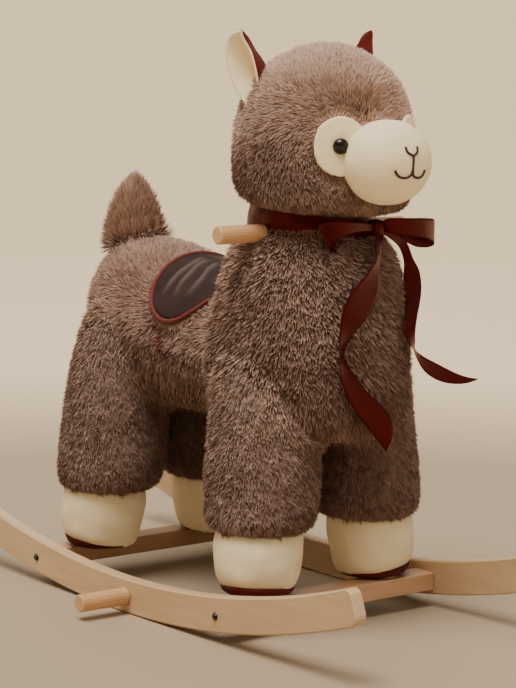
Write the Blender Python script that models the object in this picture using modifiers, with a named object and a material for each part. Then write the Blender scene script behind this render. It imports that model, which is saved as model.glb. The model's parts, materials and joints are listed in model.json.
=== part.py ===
# Rocking animal: a stuffed toy built round a wooden frame that stands on two curved rockers.
# Metres, +Z up, +X is the animal's forward, +Y its left. The floor is z = 0, under the middle.

import math

import bmesh
import bpy
from mathutils import Matrix, Vector

# Air left between pieces that touch
GAP = 0.0003

# Rockers, cut from plywood
ROCKER_LENGTH = 0.816
ROCKER_RADIUS = 1.25
ROCKER_HEIGHT = 0.040
ROCKER_THICKNESS = 0.015
ROCKER_CORNER = 0.011
ROCKER_EDGE = 0.002
ROCKER_STEPS = 25
FRAME_WIDTH = 0.320

# Crossbars between the rockers
CROSSBAR_WIDTH = 0.031
CROSSBAR_HEIGHT = 0.0205
CROSSBAR_SPACING = 0.348
CROSSBAR_DROP = 0.002
CROSSBAR_EDGE = 0.001

# Crossbar bolts and the nuts that they draw on
BOLT_DIAMETER = 0.005
BOLT_LENGTH = 0.058
BOLT_HEAD_DIAMETER = 0.009
BOLT_HEAD_HEIGHT = 0.0025
NUT_DIAMETER = 0.010
NUT_LENGTH = 0.014
NUT_SETBACK = 0.034

# Foot pegs and their screws
PEG_DIAMETER = 0.020
PEG_LENGTH = 0.064
PEG_FORWARD = 0.008
PEG_EDGE = 0.0015
SCREW_DIAMETER = 0.0045
SCREW_HEAD_DIAMETER = 0.0085
SCREW_HEAD_HEIGHT = 0.003
PEG_SCREW_LENGTH = 0.045
LEG_SCREW_LENGTH = 0.055
NECK_SCREW_LENGTH = 0.045

# Wooden frame inside the plush
POST_DIAMETER = 0.024
POST_SPIGOT_DIAMETER = 0.016
POST_INSET = 0.002
POST_FOOT_SPREAD = 0.170
POST_TOP_SPREAD = 0.118
POST_SETBACK = 0.025
SEAT_BOARD_HEIGHT = 0.249
SEAT_BOARD_THICKNESS = 0.015
SEAT_BOARD_LENGTH = 0.330
SEAT_BOARD_WIDTH = 0.150
SEAT_BOARD_CORNER = 0.028
NECK_BOARD_LENGTH = 0.230
NECK_BOARD_WIDTH = 0.064
NECK_BOARD_THICKNESS = 0.018
NECK_BOARD_EDGE = 0.001

# Hand bar through the neck
HANDLE_DIAMETER = 0.020
HANDLE_LENGTH = 0.266
HANDLE_ABOVE_BOARD = 0.1325
HANDLE_EDGE = 0.0015

# Plush body: the barrel under the seat
BARREL_RADIUS = 0.106
BARREL_ABOVE_BOARD = 0.003
BARREL_REAR = 0.236
BARREL_FRONT = 0.115

# Plush neck and chest, one column
NECK_SETBACK = 0.031
CHEST_RADIUS = 0.112
CHEST_BELOW_BOARD = 0.080
COLLAR_RADIUS = 0.066

# Plush legs
LEG_RADIUS = 0.063
LEG_HEM = 0.071
LEG_REACH = 0.225
LEG_FOOT_SPACING = 0.290
LEG_FOOT_SPREAD = 0.154
LEG_TOP_SPREAD = 0.118
LEG_LEAN = 0.010

# Velour feet and their soles
FOOT_SPACING = 0.304
FOOT_SPREAD = 0.170
FOOT_RADIUS = 0.0515
FOOT_HEIGHT = 0.078
FOOT_LEAN = 0.007
SOLE_RADIUS = 0.041
SOLE_HEIGHT = 0.011
SOLE_TILT = 0.13

# Head, muzzle, eyes and ears
HEAD_AHEAD_OF_NECK = 0.016
HEAD_RADIUS = 0.101
HEAD_ABOVE_COLLAR = 0.001
HEAD_HEIGHT = 0.179
CROWN_AHEAD = 0.005
MUZZLE_FORWARD = 0.107
MUZZLE_UP = 0.053
MUZZLE_LENGTH = 0.040
MUZZLE_WIDTH = 0.0515
MUZZLE_HEIGHT = 0.047
EYE_DIAMETER = 0.0175
EYE_HEIGHT = 0.006
EYE_SHANK_DIAMETER = 0.004
EYE_SHANK_LENGTH = 0.016
EYE_FORWARD = 0.0855
EYE_SPREAD = 0.0975
EYE_UP = 0.0705
PATCH_WIDTH = 0.058
PATCH_HEIGHT = 0.064
PATCH_THICKNESS = 0.004
PATCH_SUNK = 0.002
EYE_SUNK = 0.001
EAR_THICKNESS = 0.005
EAR_UP = 0.106
EAR_HEIGHT = 0.084
EAR_WIDTH = 0.036
EAR_DEPTH = 0.027
EAR_TURN = 18.0
EAR_FOLD = 15.0

# Tail
TAIL_REARWARD = 0.203
TAIL_RADIUS = 0.033
TAIL_HEIGHT = 0.088
TAIL_ROOT = 0.027

# Seat patch and its piping
SEAT_FORWARD = -0.008
SEAT_LENGTH = 0.152
SEAT_SPAN = 0.286
SEAT_WAIST = 0.16
SEAT_THICKNESS = 0.006
SEAT_SUNK = 0.003
PIPING_WIDTH = 0.005
PIPING_THICKNESS = 0.007

# Satin ribbon: collar, bow and tails
RIBBON_WIDTH = 0.023
RIBBON_THICKNESS = 0.0014
COLLAR_LAP = 0.004
COLLAR_TILT = 5.0
COLLAR_EASE = 0.003
BOW_FORWARD = 0.085
BOW_SIDE = 0.0185
BOW_DROP = 0.009
BOW_HALF_WIDTH = 0.080
BOW_DEPTH = 0.024
BOW_DROOP = 0.007
KNOT_SIZE = 0.020
TAIL_RIBBON_WIDTH = 0.020
TAIL_GATHER = 0.35
RIBBON_OFF_CHEST = 0.007

# Heights and places that follow from these sizes
HALF_GAUGE = FRAME_WIDTH / 2 - ROCKER_THICKNESS
CROSSBAR_X = CROSSBAR_SPACING / 2
POST_TOP_X = SEAT_BOARD_LENGTH / 2 - POST_SETBACK
NECK_FORWARD = SEAT_BOARD_LENGTH / 2 - NECK_SETBACK
HEAD_FORWARD = NECK_FORWARD + HEAD_AHEAD_OF_NECK


def rocker_middle(x):
    # height of the rocker's middle line over the floor, at a place along it
    middle_radius = ROCKER_RADIUS - ROCKER_HEIGHT / 2
    return ROCKER_RADIUS - math.sqrt(middle_radius ** 2 - x ** 2)


CROSSBAR_Z = rocker_middle(CROSSBAR_X) - CROSSBAR_DROP
CROSSBAR_TOP = CROSSBAR_Z + CROSSBAR_HEIGHT / 2
SEAT_BOARD_BOTTOM = CROSSBAR_TOP + SEAT_BOARD_HEIGHT
SEAT_BOARD_TOP = SEAT_BOARD_BOTTOM + SEAT_BOARD_THICKNESS
HANDLE_Z = SEAT_BOARD_TOP + HANDLE_ABOVE_BOARD
COLLAR_Z = HANDLE_Z + HANDLE_DIAMETER / 2 - COLLAR_LAP + RIBBON_WIDTH / 2
NECK_BOTTOM = SEAT_BOARD_BOTTOM - CHEST_BELOW_BOARD
HEAD_BOTTOM = (COLLAR_Z + RIBBON_WIDTH / 2 + HEAD_ABOVE_COLLAR
               - (HEAD_FORWARD - NECK_FORWARD) * math.tan(math.radians(COLLAR_TILT)))
LEG_BOTTOM = CROSSBAR_TOP + LEG_HEM

# How finely round pieces are cut into flats: cages before smoothing, then bars and small fasteners
LARGE_SIDES = 12
LIMB_SIDES = 10
BAR_SIDES = 20
POST_SIDES = 16
SMALL_SIDES = 10


def clear_scene():
    for old in list(bpy.data.objects):
        bpy.data.objects.remove(old, do_unlink=True)


def new_collection(name):
    collection = bpy.data.collections.new(name)
    bpy.context.scene.collection.children.link(collection)
    return collection


def new_material(name, colour, roughness, metallic=0.0):
    material = bpy.data.materials.new(name)
    material.use_nodes = True
    shader = material.node_tree.nodes["Principled BSDF"]
    shader.inputs["Base Color"].default_value = (*colour, 1.0)
    shader.inputs["Roughness"].default_value = roughness
    shader.inputs["Metallic"].default_value = metallic
    material.diffuse_color = (*colour, 1.0)
    return material


clear_scene()
PARTS = new_collection("rocking_animal")
CUTTERS = new_collection("cutters")

PLYWOOD = new_material("plywood", (0.56, 0.38, 0.21), 0.45)
BAR_WOOD = new_material("bar_wood", (0.47, 0.27, 0.13), 0.5)
BEECH = new_material("beech", (0.64, 0.42, 0.25), 0.45)
BLACK_STEEL = new_material("black_steel", (0.02, 0.02, 0.02), 0.4, 0.8)
ZINC = new_material("zinc", (0.6, 0.6, 0.58), 0.35, 1.0)
PLUSH = new_material("plush", (0.30, 0.19, 0.14), 0.95)
VELOUR = new_material("cream_velour", (0.66, 0.58, 0.42), 0.9)
SOLE_FELT = new_material("sole_felt", (0.10, 0.010, 0.008), 0.9)
SEAT_VELOUR = new_material("seat_velour", (0.10, 0.075, 0.07), 0.9)
PIPING_CLOTH = new_material("piping_cloth", (0.25, 0.035, 0.02), 0.8)
SATIN = new_material("satin", (0.14, 0.012, 0.015), 0.35)
EYE_PLASTIC = new_material("eye_plastic", (0.01, 0.008, 0.007), 0.08)
EAR_VELVET = new_material("ear_velvet", (0.20, 0.018, 0.012), 0.85)


def smooth_faces(mesh, angle=35.0):
    mesh.shade_smooth()
    mesh.set_sharp_from_angle(angle=math.radians(angle))


def add_object(name, bm, collection, material=None, smooth=True):
    mesh = bpy.data.meshes.new(name)
    bm.to_mesh(mesh)
    bm.free()
    if smooth:
        smooth_faces(mesh)
    return link_object(name, mesh, collection, material)


def link_object(name, mesh, collection, material=None):
    made = bpy.data.objects.new(name, mesh)
    collection.objects.link(made)
    if material:
        mesh.materials.clear()
        mesh.materials.append(material)
    if collection is CUTTERS:
        made.hide_render = True
        made.display_type = "WIRE"
    return made


def cut(target, *cutters, solver="EXACT"):
    for cutter in cutters:
        step = target.modifiers.new("cut_" + cutter.name, "BOOLEAN")
        step.operation = "DIFFERENCE"
        step.solver = solver
        step.object = cutter


def join(target, *others):
    for other in others:
        step = target.modifiers.new("join_" + other.name, "BOOLEAN")
        step.operation = "UNION"
        step.solver = "EXACT"
        step.object = other


def round_edges(target, width, segments=1, angle=50.0):
    step = target.modifiers.new("edges", "BEVEL")
    step.width = width
    step.segments = segments
    step.limit_method = "ANGLE"
    step.angle_limit = math.radians(angle)
    return step


def subdivide(target, levels=1):
    step = target.modifiers.new("soft", "SUBSURF")
    step.levels = levels
    step.render_levels = levels


def swollen(source, amount=GAP):
    # copy of a soft form, grown along its own surface, that cuts its neighbours
    grown = link_object(source.name + "_clearance", source.data.copy(), CUTTERS)
    grown.matrix_world = source.matrix_world.copy()
    for old in source.modifiers:
        if old.type == "SUBSURF":
            subdivide(grown, old.levels)
        if old.type == "SHRINKWRAP":
            wrap_on(grown, old.target)
        if old.type == "SOLIDIFY":
            thicken(grown, old.thickness, old.offset)
    step = grown.modifiers.new("grow", "DISPLACE")
    step.strength = amount
    step.mid_level = 0.0
    return grown


def wrap_on(target, surface):
    step = target.modifiers.new("wrap", "SHRINKWRAP")
    step.target = surface
    step.wrap_method = "NEAREST_SURFACEPOINT"


def thicken(target, thickness, offset=1.0):
    step = target.modifiers.new("thick", "SOLIDIFY")
    step.thickness = thickness
    step.offset = offset
    return step


def box(name, low, high, collection, material=None):
    low, high = Vector(low), Vector(high)
    bm = bmesh.new()
    bmesh.ops.create_cube(bm, size=1.0)
    bmesh.ops.scale(bm, verts=bm.verts, vec=high - low)
    bmesh.ops.translate(bm, verts=bm.verts, vec=(low + high) / 2)
    return add_object(name, bm, collection, material, smooth=False)


def rod(name, radius, start, end, collection, material=None, sides=BAR_SIDES):
    # straight round bar from one point to another
    start, end = Vector(start), Vector(end)
    bm = bmesh.new()
    bmesh.ops.create_cone(bm, cap_ends=True, segments=sides, radius1=radius, radius2=radius,
                          depth=(end - start).length)
    turn = (end - start).to_track_quat("Z", "Y").to_matrix().to_4x4()
    bmesh.ops.transform(bm, matrix=Matrix.Translation((start + end) / 2) @ turn, verts=bm.verts)
    return add_object(name, bm, collection, material)


def turned(name, profile, base, direction, collection, material=None, sides=SMALL_SIDES):
    # profile runs from the top of the axis down its outer side to the bottom of the axis
    mesh = bpy.data.meshes.new(name)
    points = [(radius, 0.0, height) for radius, height in profile]
    mesh.from_pydata(points, [(i, i + 1) for i in range(len(points) - 1)], [])
    made = link_object(name, mesh, collection, material)
    turn = Vector(direction).to_track_quat("Z", "Y").to_matrix().to_4x4()
    made.matrix_world = Matrix.Translation(base) @ turn
    step = made.modifiers.new("turn", "SCREW")
    step.steps = sides
    step.render_steps = sides
    step.use_merge_vertices = True
    step.merge_threshold = 0.00005
    step.use_smooth_shade = True
    return made


def ring(bm, centre, across, upward, sides):
    # one closed ring of edges; across and upward are its half widths as vectors
    made = bmesh.ops.create_circle(bm, cap_ends=False, segments=sides, radius=1.0)
    facing = across.cross(upward).normalized()
    shape = Matrix((across, upward, facing)).transposed().to_4x4()
    shape.translation = centre
    bmesh.ops.transform(bm, matrix=shape, verts=made["verts"])
    return made["verts"]


def bridge(bm, near, far):
    # quads between two rings of as many points
    count = len(near)
    for i in range(count):
        follow = (i + 1) % count
        bm.faces.new((near[i], near[follow], far[follow], far[i]))


def lofted(name, rings, collection, material=None, sides=12, levels=1):
    # soft form from a stack of rings, each (centre, across, upward)
    bm = bmesh.new()
    loops = [ring(bm, *map(Vector, one), sides) for one in rings]
    for near, far in zip(loops, loops[1:]):
        bridge(bm, near, far)
    bmesh.ops.holes_fill(bm, edges=bm.edges, sides=0)
    bmesh.ops.recalc_face_normals(bm, faces=bm.faces)
    if bm.calc_volume(signed=True) < 0:
        bmesh.ops.reverse_faces(bm, faces=bm.faces)
    made = add_object(name, bm, collection, material)
    if levels:
        subdivide(made, levels)
    return made


def cage(sides):
    # how much larger a cage is than the smooth ring that it makes
    return 3.0 / (2.0 + math.cos(2.0 * math.pi / sides))


def column(name, middle, profile, material, slope=None, sides=LARGE_SIDES):
    # upright soft form; middle(z) gives its centre, profile lists (height, radius) pairs, and
    # slope(z) gives how much a ring climbs forward and to the left
    rings = []
    for height, radius in profile:
        x, y = middle(height)
        forward, left = slope(height) if slope else (0.0, 0.0)
        reach = radius * cage(sides)
        rings.append(((x, y, height), (reach, 0.0, reach * forward), (0.0, reach, reach * left)))
    return lofted(name, rings, PARTS, material, sides)


# Rockers
def rocker_outline():
    # rounded strip, laid out straight as (distance along, height) and then bent round the rocker's centre
    half = ROCKER_RADIUS * math.asin(ROCKER_LENGTH / 2 / ROCKER_RADIUS)
    run = half - ROCKER_CORNER
    strip = []
    for i in range(ROCKER_STEPS + 1):
        strip.append((-run + 2 * run * i / ROCKER_STEPS, 0.0))
    for middle, start in ((ROCKER_CORNER, -90), (ROCKER_HEIGHT - ROCKER_CORNER, 0)):
        for i in range(1, 5):
            turn = math.radians(start + 22.5 * i)
            strip.append((run + ROCKER_CORNER * math.cos(turn), middle + ROCKER_CORNER * math.sin(turn)))
    for i in range(1, ROCKER_STEPS + 1):
        strip.append((run - 2 * run * i / ROCKER_STEPS, ROCKER_HEIGHT))
    for middle, start in ((ROCKER_HEIGHT - ROCKER_CORNER, 90), (ROCKER_CORNER, 180)):
        for i in range(1, 5):
            turn = math.radians(start + 22.5 * i)
            strip.append((-run + ROCKER_CORNER * math.cos(turn), middle + ROCKER_CORNER * math.sin(turn)))
    strip.pop()
    flat = ROCKER_RADIUS * math.cos(run / ROCKER_STEPS / ROCKER_RADIUS)
    points = []
    for along, height in strip:
        angle = along / ROCKER_RADIUS
        radius = ROCKER_RADIUS - height
        points.append((radius * math.sin(angle), flat - radius * math.cos(angle)))
    return points


def flat_piece(name, outline, thickness, place, material):
    # plate cut to an outline in its own XY plane, then placed
    curve = bpy.data.curves.new(name, "CURVE")
    curve.dimensions = "2D"
    curve.fill_mode = "BOTH"
    curve.extrude = thickness / 2
    spline = curve.splines.new("POLY")
    spline.points.add(len(outline) - 1)
    for point, (x, y) in zip(spline.points, outline):
        point.co = (x, y, 0.0, 1.0)
    spline.use_cyclic_u = True
    drawn = bpy.data.objects.new(name + "_outline", curve)
    PARTS.objects.link(drawn)
    drawn.matrix_world = place
    bpy.context.view_layer.update()
    evaluated = drawn.evaluated_get(bpy.context.evaluated_depsgraph_get())
    mesh = bpy.data.meshes.new_from_object(evaluated)
    bm = bmesh.new()
    bm.from_mesh(mesh)
    bmesh.ops.remove_doubles(bm, verts=bm.verts, dist=0.00001)
    bmesh.ops.dissolve_limit(bm, angle_limit=math.radians(1.0), verts=bm.verts, edges=bm.edges)
    bm.to_mesh(mesh)
    bm.free()
    mesh.name = name
    bpy.data.objects.remove(drawn, do_unlink=True)
    made = link_object(name, mesh, PARTS, material)
    made.matrix_world = place
    return made


UPRIGHT = Matrix.Rotation(math.radians(90.0), 4, "X")
SIDES = (("right", -1), ("left", 1))
ENDS = (("front", 1), ("rear", -1))
PEG_Z = rocker_middle(PEG_FORWARD)

BOLT_PROFILE = ((0.0, BOLT_HEAD_HEIGHT), (BOLT_HEAD_DIAMETER * 0.3, BOLT_HEAD_HEIGHT),
                (BOLT_HEAD_DIAMETER / 2, GAP), (BOLT_DIAMETER / 2, GAP),
                (BOLT_DIAMETER / 2, -BOLT_LENGTH + 0.001), (BOLT_DIAMETER / 2 - 0.001, -BOLT_LENGTH),
                (0.0, -BOLT_LENGTH))


def screw_profile(length):
    # countersunk wood screw, its head flush at height 0 and its point at the bottom
    return ((0.0, -GAP), (SCREW_HEAD_DIAMETER / 2, -GAP), (SCREW_DIAMETER / 2, -SCREW_HEAD_HEIGHT),
            (SCREW_DIAMETER / 2, -length + 2 * SCREW_DIAMETER), (0.0, -length))


def widened(profile):
    # the hole that a turned piece drops into from above
    top, bottom = 2 * profile[0][1] + 4 * GAP, profile[-1][1] - GAP
    steps = []
    for i in range(1, len(profile) - 1):
        widest = max(radius for radius, height in profile[i:])
        steps.append((widest + GAP, profile[i][1] - GAP))
    return [(0.0, top), (steps[0][0], top)] + steps + [(steps[-1][0], bottom), (0.0, bottom)]


def screw_and_hole(name, length, head, direction):
    # direction points from the tip out of the head
    profile = screw_profile(length)
    made = turned(name, profile, head, direction, PARTS, ZINC)
    hole = turned(name + "_hole", widened(profile), head, direction, CUTTERS)
    return made, hole


def crossbar_bolts():
    # one bolt at each rocker and crossbar, with its cross nut; the holes are returned by place
    holes = {}
    for end, forward in ENDS:
        for side, outward in SIDES:
            x = forward * CROSSBAR_X
            face = outward * FRAME_WIDTH / 2
            nut_y = outward * (HALF_GAUGE - NUT_SETBACK)
            name = f"crossbar_bolt_{end}_{side}"
            turned(name, BOLT_PROFILE, (x, face, CROSSBAR_Z), (0, outward, 0), PARTS, BLACK_STEEL)
            tip = outward * (FRAME_WIDTH / 2 - BOLT_LENGTH - GAP)
            hole = rod(name + "_hole", BOLT_DIAMETER / 2 + GAP, (x, face + outward * BOLT_DIAMETER, CROSSBAR_Z),
                       (x, tip, CROSSBAR_Z), CUTTERS, sides=SMALL_SIDES)
            low = CROSSBAR_Z - CROSSBAR_HEIGHT / 2 + GAP
            nut = rod(f"cross_nut_{end}_{side}", NUT_DIAMETER / 2, (x, nut_y, low),
                      (x, nut_y, low + NUT_LENGTH), PARTS, ZINC, sides=SMALL_SIDES)
            pocket = rod(nut.name + "_pocket", NUT_DIAMETER / 2 + GAP, (x, nut_y, low - NUT_LENGTH),
                         (x, nut_y, low + NUT_LENGTH + GAP), CUTTERS, sides=SMALL_SIDES)
            cut(nut, hole)
            holes[end, side] = (hole, pocket)
    return holes


def post_rings(end_forward, outward, clearance):
    # leaning post: square-cut foot on the crossbar, shoulder and spigot in the seat board
    radius = POST_DIAMETER / 2 + clearance
    spigot = POST_SPIGOT_DIAMETER / 2 + clearance
    low = Vector((end_forward * (CROSSBAR_X - POST_INSET), outward * POST_FOOT_SPREAD / 2,
                  CROSSBAR_TOP + GAP))
    high = Vector((end_forward * POST_TOP_X, outward * POST_TOP_SPREAD / 2,
                   SEAT_BOARD_BOTTOM - GAP))
    lean = (high - low) / (high.z - low.z)
    tip = Vector((high.x, high.y, SEAT_BOARD_TOP + clearance))
    if clearance:
        low = low - lean * CROSSBAR_HEIGHT / 2
        high = high + lean * 2 * GAP
    rings = []
    for centre, size in ((low, radius), (high, radius), (high, spigot), (tip, spigot)):
        rings.append((centre, (size, 0.0, 0.0), (0.0, size, 0.0)))
    return rings


def wooden_frame():
    bolt_holes = crossbar_bolts()
    posts = {}
    for end, forward in ENDS:
        x = forward * CROSSBAR_X
        half = HALF_GAUGE - GAP
        bar = box(f"{end}_crossbar", (x - CROSSBAR_WIDTH / 2, -half, CROSSBAR_Z - CROSSBAR_HEIGHT / 2),
                  (x + CROSSBAR_WIDTH / 2, half, CROSSBAR_TOP), PARTS, BAR_WOOD)
        round_edges(bar, CROSSBAR_EDGE)
        for side, outward in SIDES:
            cut(bar, *bolt_holes[end, side])
            head = (forward * (CROSSBAR_X - POST_INSET), outward * POST_FOOT_SPREAD / 2,
                    CROSSBAR_Z - CROSSBAR_HEIGHT / 2)
            post = lofted(f"leg_post_{end}_{side}", post_rings(forward, outward, 0.0), PARTS, BEECH,
                          POST_SIDES, 0)
            space = lofted(post.name + "_space", post_rings(forward, outward, GAP), CUTTERS, None,
                           POST_SIDES, 0)
            screw, hole = screw_and_hole(f"leg_screw_{end}_{side}", LEG_SCREW_LENGTH, head, (0, 0, -1))
            cut(bar, hole)
            cut(post, hole)
            posts[end, side] = space
    for side, outward in SIDES:
        middle = outward * (FRAME_WIDTH / 2 - ROCKER_THICKNESS / 2)
        place = Matrix.Translation((0.0, middle, 0.0)) @ UPRIGHT
        rocker = flat_piece(f"rocker_{side}", rocker_outline(), ROCKER_THICKNESS, place, PLYWOOD)
        round_edges(rocker, ROCKER_EDGE)
        face = outward * FRAME_WIDTH / 2
        peg = rod(f"foot_peg_{side}", PEG_DIAMETER / 2, (PEG_FORWARD, face + outward * GAP, PEG_Z),
                  (PEG_FORWARD, face + outward * PEG_LENGTH, PEG_Z), PARTS, BEECH)
        round_edges(peg, PEG_EDGE)
        screw, hole = screw_and_hole(f"peg_screw_{side}", PEG_SCREW_LENGTH,
                                     (PEG_FORWARD, outward * HALF_GAUGE, PEG_Z), (0, -outward, 0))
        cut(rocker, hole, bolt_holes["front", side][0], bolt_holes["rear", side][0])
        cut(peg, hole)
    return posts


def rounded_rectangle(length, width, corner, steps=3):
    points = []
    for sign_x, sign_y, start in ((1, 1, 0), (-1, 1, 90), (-1, -1, 180), (1, -1, 270)):
        for i in range(steps + 1):
            turn = math.radians(start + 90.0 * i / steps)
            points.append((sign_x * (length / 2 - corner) + corner * math.cos(turn),
                           sign_y * (width / 2 - corner) + corner * math.sin(turn)))
    return points


def inner_frame(posts):
    # seat board on the four posts, neck board on it, and the hand bar through the neck board
    middle_z = (SEAT_BOARD_BOTTOM + SEAT_BOARD_TOP) / 2
    outline = rounded_rectangle(SEAT_BOARD_LENGTH, SEAT_BOARD_WIDTH, SEAT_BOARD_CORNER)
    seat_board = flat_piece("seat_board", outline, SEAT_BOARD_THICKNESS,
                            Matrix.Translation((0.0, 0.0, middle_z)), PLYWOOD)
    cut(seat_board, *posts.values())
    half_x, half_y = NECK_BOARD_WIDTH / 2, NECK_BOARD_THICKNESS / 2
    low = SEAT_BOARD_TOP + GAP
    neck_board = box("neck_board", (NECK_FORWARD - half_x, -half_y, low),
                     (NECK_FORWARD + half_x, half_y, low + NECK_BOARD_LENGTH), PARTS, PLYWOOD)
    round_edges(neck_board, NECK_BOARD_EDGE)
    for word, forward in (("front", 1), ("rear", -1)):
        head = (NECK_FORWARD + forward * NECK_BOARD_WIDTH / 4, 0.0, SEAT_BOARD_BOTTOM)
        screw, hole = screw_and_hole(f"neck_screw_{word}", NECK_SCREW_LENGTH, head, (0, 0, -1))
        cut(seat_board, hole)
        cut(neck_board, hole)
    half = HANDLE_LENGTH / 2
    handle = rod("handle_bar", HANDLE_DIAMETER / 2, (NECK_FORWARD, -half, HANDLE_Z),
                 (NECK_FORWARD, half, HANDLE_Z), PARTS, BEECH)
    round_edges(handle, HANDLE_EDGE)
    bore = rod("handle_bore", HANDLE_DIAMETER / 2 + GAP, (NECK_FORWARD, -half, HANDLE_Z),
               (NECK_FORWARD, half, HANDLE_Z), CUTTERS)
    cut(neck_board, bore)
    half_length = SEAT_BOARD_LENGTH / 2 + GAP
    half_width = SEAT_BOARD_WIDTH / 2 + GAP
    seat_space = box("seat_board_space", (-half_length, -half_width, SEAT_BOARD_BOTTOM - GAP),
                     (half_length, half_width, SEAT_BOARD_TOP + GAP), CUTTERS)
    neck_space = box("neck_board_space", (NECK_FORWARD - half_x - GAP, -half_y - GAP, SEAT_BOARD_TOP),
                     (NECK_FORWARD + half_x + GAP, half_y + GAP, low + NECK_BOARD_LENGTH + GAP), CUTTERS)
    return seat_space, neck_space, bore


# Plush
BARREL_Z = SEAT_BOARD_TOP + BARREL_ABOVE_BOARD
BARREL_PROFILE = (  # share of the way from rear to front, then shares of the radius: sides, top, bottom
    (0.000, 0.30, 0.32, 0.30), (0.030, 0.50, 0.72, 0.60), (0.120, 0.73, 0.93, 0.82),
    (0.230, 0.85, 0.945, 0.89), (0.350, 0.91, 0.905, 0.91), (0.450, 0.94, 0.80, 0.91),
    (0.540, 0.95, 0.705, 0.91), (0.640, 0.95, 0.66, 0.91), (0.900, 0.94, 0.65, 0.90),
    (1.000, 0.68, 0.55, 0.70))


def barrel():
    length = BARREL_REAR + BARREL_FRONT
    reach = BARREL_RADIUS * cage(LARGE_SIDES)
    rings = []
    for share, side, top, bottom in BARREL_PROFILE:
        centre = (-BARREL_REAR + share * length, 0.0, BARREL_Z + BARREL_RADIUS * (top - bottom) / 2)
        rings.append((centre, (0.0, reach * side, 0.0), (0.0, 0.0, reach * (top + bottom) / 2)))
    return lofted("plush_body", rings, PARTS, PLUSH, LARGE_SIDES)


def neck_column():
    # chest, shoulders and neck, narrowest under the ribbon collar
    shoulder = COLLAR_Z - NECK_BOTTOM
    throat = COLLAR_RADIUS / CHEST_RADIUS
    profile = ((0.000, 0.52), (0.010, 0.76), (0.090, 0.94), (0.270, 1.00), (0.500, 0.99), (0.680, 0.93),
               (0.800, 0.86), (0.885, 0.76), (0.940, throat + 0.05), (1.000, throat),
               (1.080, throat), (1.120, throat - 0.08))
    rings = [(NECK_BOTTOM + share * shoulder, CHEST_RADIUS * size) for share, size in profile]
    return column("plush_neck", lambda z: (NECK_FORWARD, 0.0), rings, PLUSH)


def leg(end, forward, side, outward):
    profile = ((0.00, 0.78), (0.02, 0.96), (0.14, 1.01), (0.45, 0.99), (0.72, 0.92), (0.90, 0.76),
               (1.00, 0.42))

    def middle(z):
        share = (z - LEG_BOTTOM) / LEG_REACH
        spread = LEG_FOOT_SPREAD + (LEG_TOP_SPREAD - LEG_FOOT_SPREAD) * share
        return forward * (LEG_FOOT_SPACING / 2 - LEG_LEAN * share), outward * spread / 2

    rings = [(LEG_BOTTOM + share * LEG_REACH, LEG_RADIUS * size) for share, size in profile]
    return column(f"plush_leg_{end}_{side}", middle, rings, PLUSH, sides=LIMB_SIDES)


def foot(end, forward, side, outward):
    # its lower end leans back on the tilted sole
    bottom = CROSSBAR_TOP + SOLE_HEIGHT + GAP
    profile = ((0.00, 0.81), (0.10, 0.87), (0.36, 0.97), (0.72, 0.99), (1.00, 0.74))

    def middle(z):
        back = FOOT_LEAN * (z - bottom) / FOOT_HEIGHT
        return forward * (FOOT_SPACING / 2 - back), outward * (FOOT_SPREAD / 2 - back)

    def slope(z):
        rise = SOLE_TILT * max(0.0, 1.0 - (z - bottom) / (FOOT_HEIGHT * 0.75))
        return forward * rise, outward * rise

    rings = [(bottom + share * FOOT_HEIGHT, FOOT_RADIUS * size) for share, size in profile]
    return column(f"foot_{end}_{side}", middle, rings, VELOUR, slope, LIMB_SIDES)


def sole(end, forward, side, outward):
    # dished sole: flat where it rests on the crossbar, its rim higher at the outer corner
    bottom = CROSSBAR_TOP + GAP
    profile = ((0.00, 0.60), (0.12, 0.80), (0.50, 0.94), (1.00, 1.00))
    place = (forward * FOOT_SPACING / 2, outward * FOOT_SPREAD / 2)
    rings = []
    for share, size in profile:
        reach = SOLE_RADIUS * size
        rise = SOLE_TILT * reach * share
        rings.append(((*place, bottom + share * SOLE_HEIGHT), (reach, 0.0, forward * rise),
                      (0.0, reach, outward * rise)))
    return lofted(f"sole_{end}_{side}", rings, PARTS, SOLE_FELT, 2 * LIMB_SIDES, 0)


def head():
    profile = ((0.000, 0.66), (0.012, 0.90), (0.105, 0.985), (0.335, 1.00), (0.550, 0.96),
               (0.710, 0.865), (0.820, 0.735), (0.900, 0.55), (0.965, 0.33), (0.998, 0.11))

    def middle(z):
        share = (z - HEAD_BOTTOM) / HEAD_HEIGHT
        return HEAD_FORWARD + CROWN_AHEAD * max(0.0, share - 0.3) / 0.7, 0.0

    def slope(z):
        fade = 1.0 - (z - HEAD_BOTTOM) / HEAD_HEIGHT
        return -math.tan(math.radians(COLLAR_TILT)) * fade, 0.0

    rings = [(HEAD_BOTTOM + share * HEAD_HEIGHT, HEAD_RADIUS * size) for share, size in profile]
    return column("plush_head", middle, rings, PLUSH, slope)


def muzzle():
    bm = bmesh.new()
    bmesh.ops.create_uvsphere(bm, u_segments=18, v_segments=10, radius=1.0)
    bmesh.ops.scale(bm, verts=bm.verts, vec=(MUZZLE_LENGTH, MUZZLE_WIDTH, MUZZLE_HEIGHT))
    place = (HEAD_FORWARD + MUZZLE_FORWARD, 0.0, HEAD_BOTTOM + MUZZLE_UP)
    bmesh.ops.translate(bm, verts=bm.verts, vec=place)
    made = add_object("muzzle", bm, PARTS, VELOUR)
    return made


def tail():
    root = BARREL_Z + BARREL_RADIUS - TAIL_ROOT
    profile = ((0.00, 0.90), (0.16, 1.00), (0.38, 0.93), (0.60, 0.76), (0.82, 0.50), (1.00, 0.12))
    rings = [(root + share * TAIL_HEIGHT, TAIL_RADIUS * size) for share, size in profile]
    return column("tail", lambda z: (-TAIL_REARWARD, 0.0), rings, PLUSH, sides=LIMB_SIDES)


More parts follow.
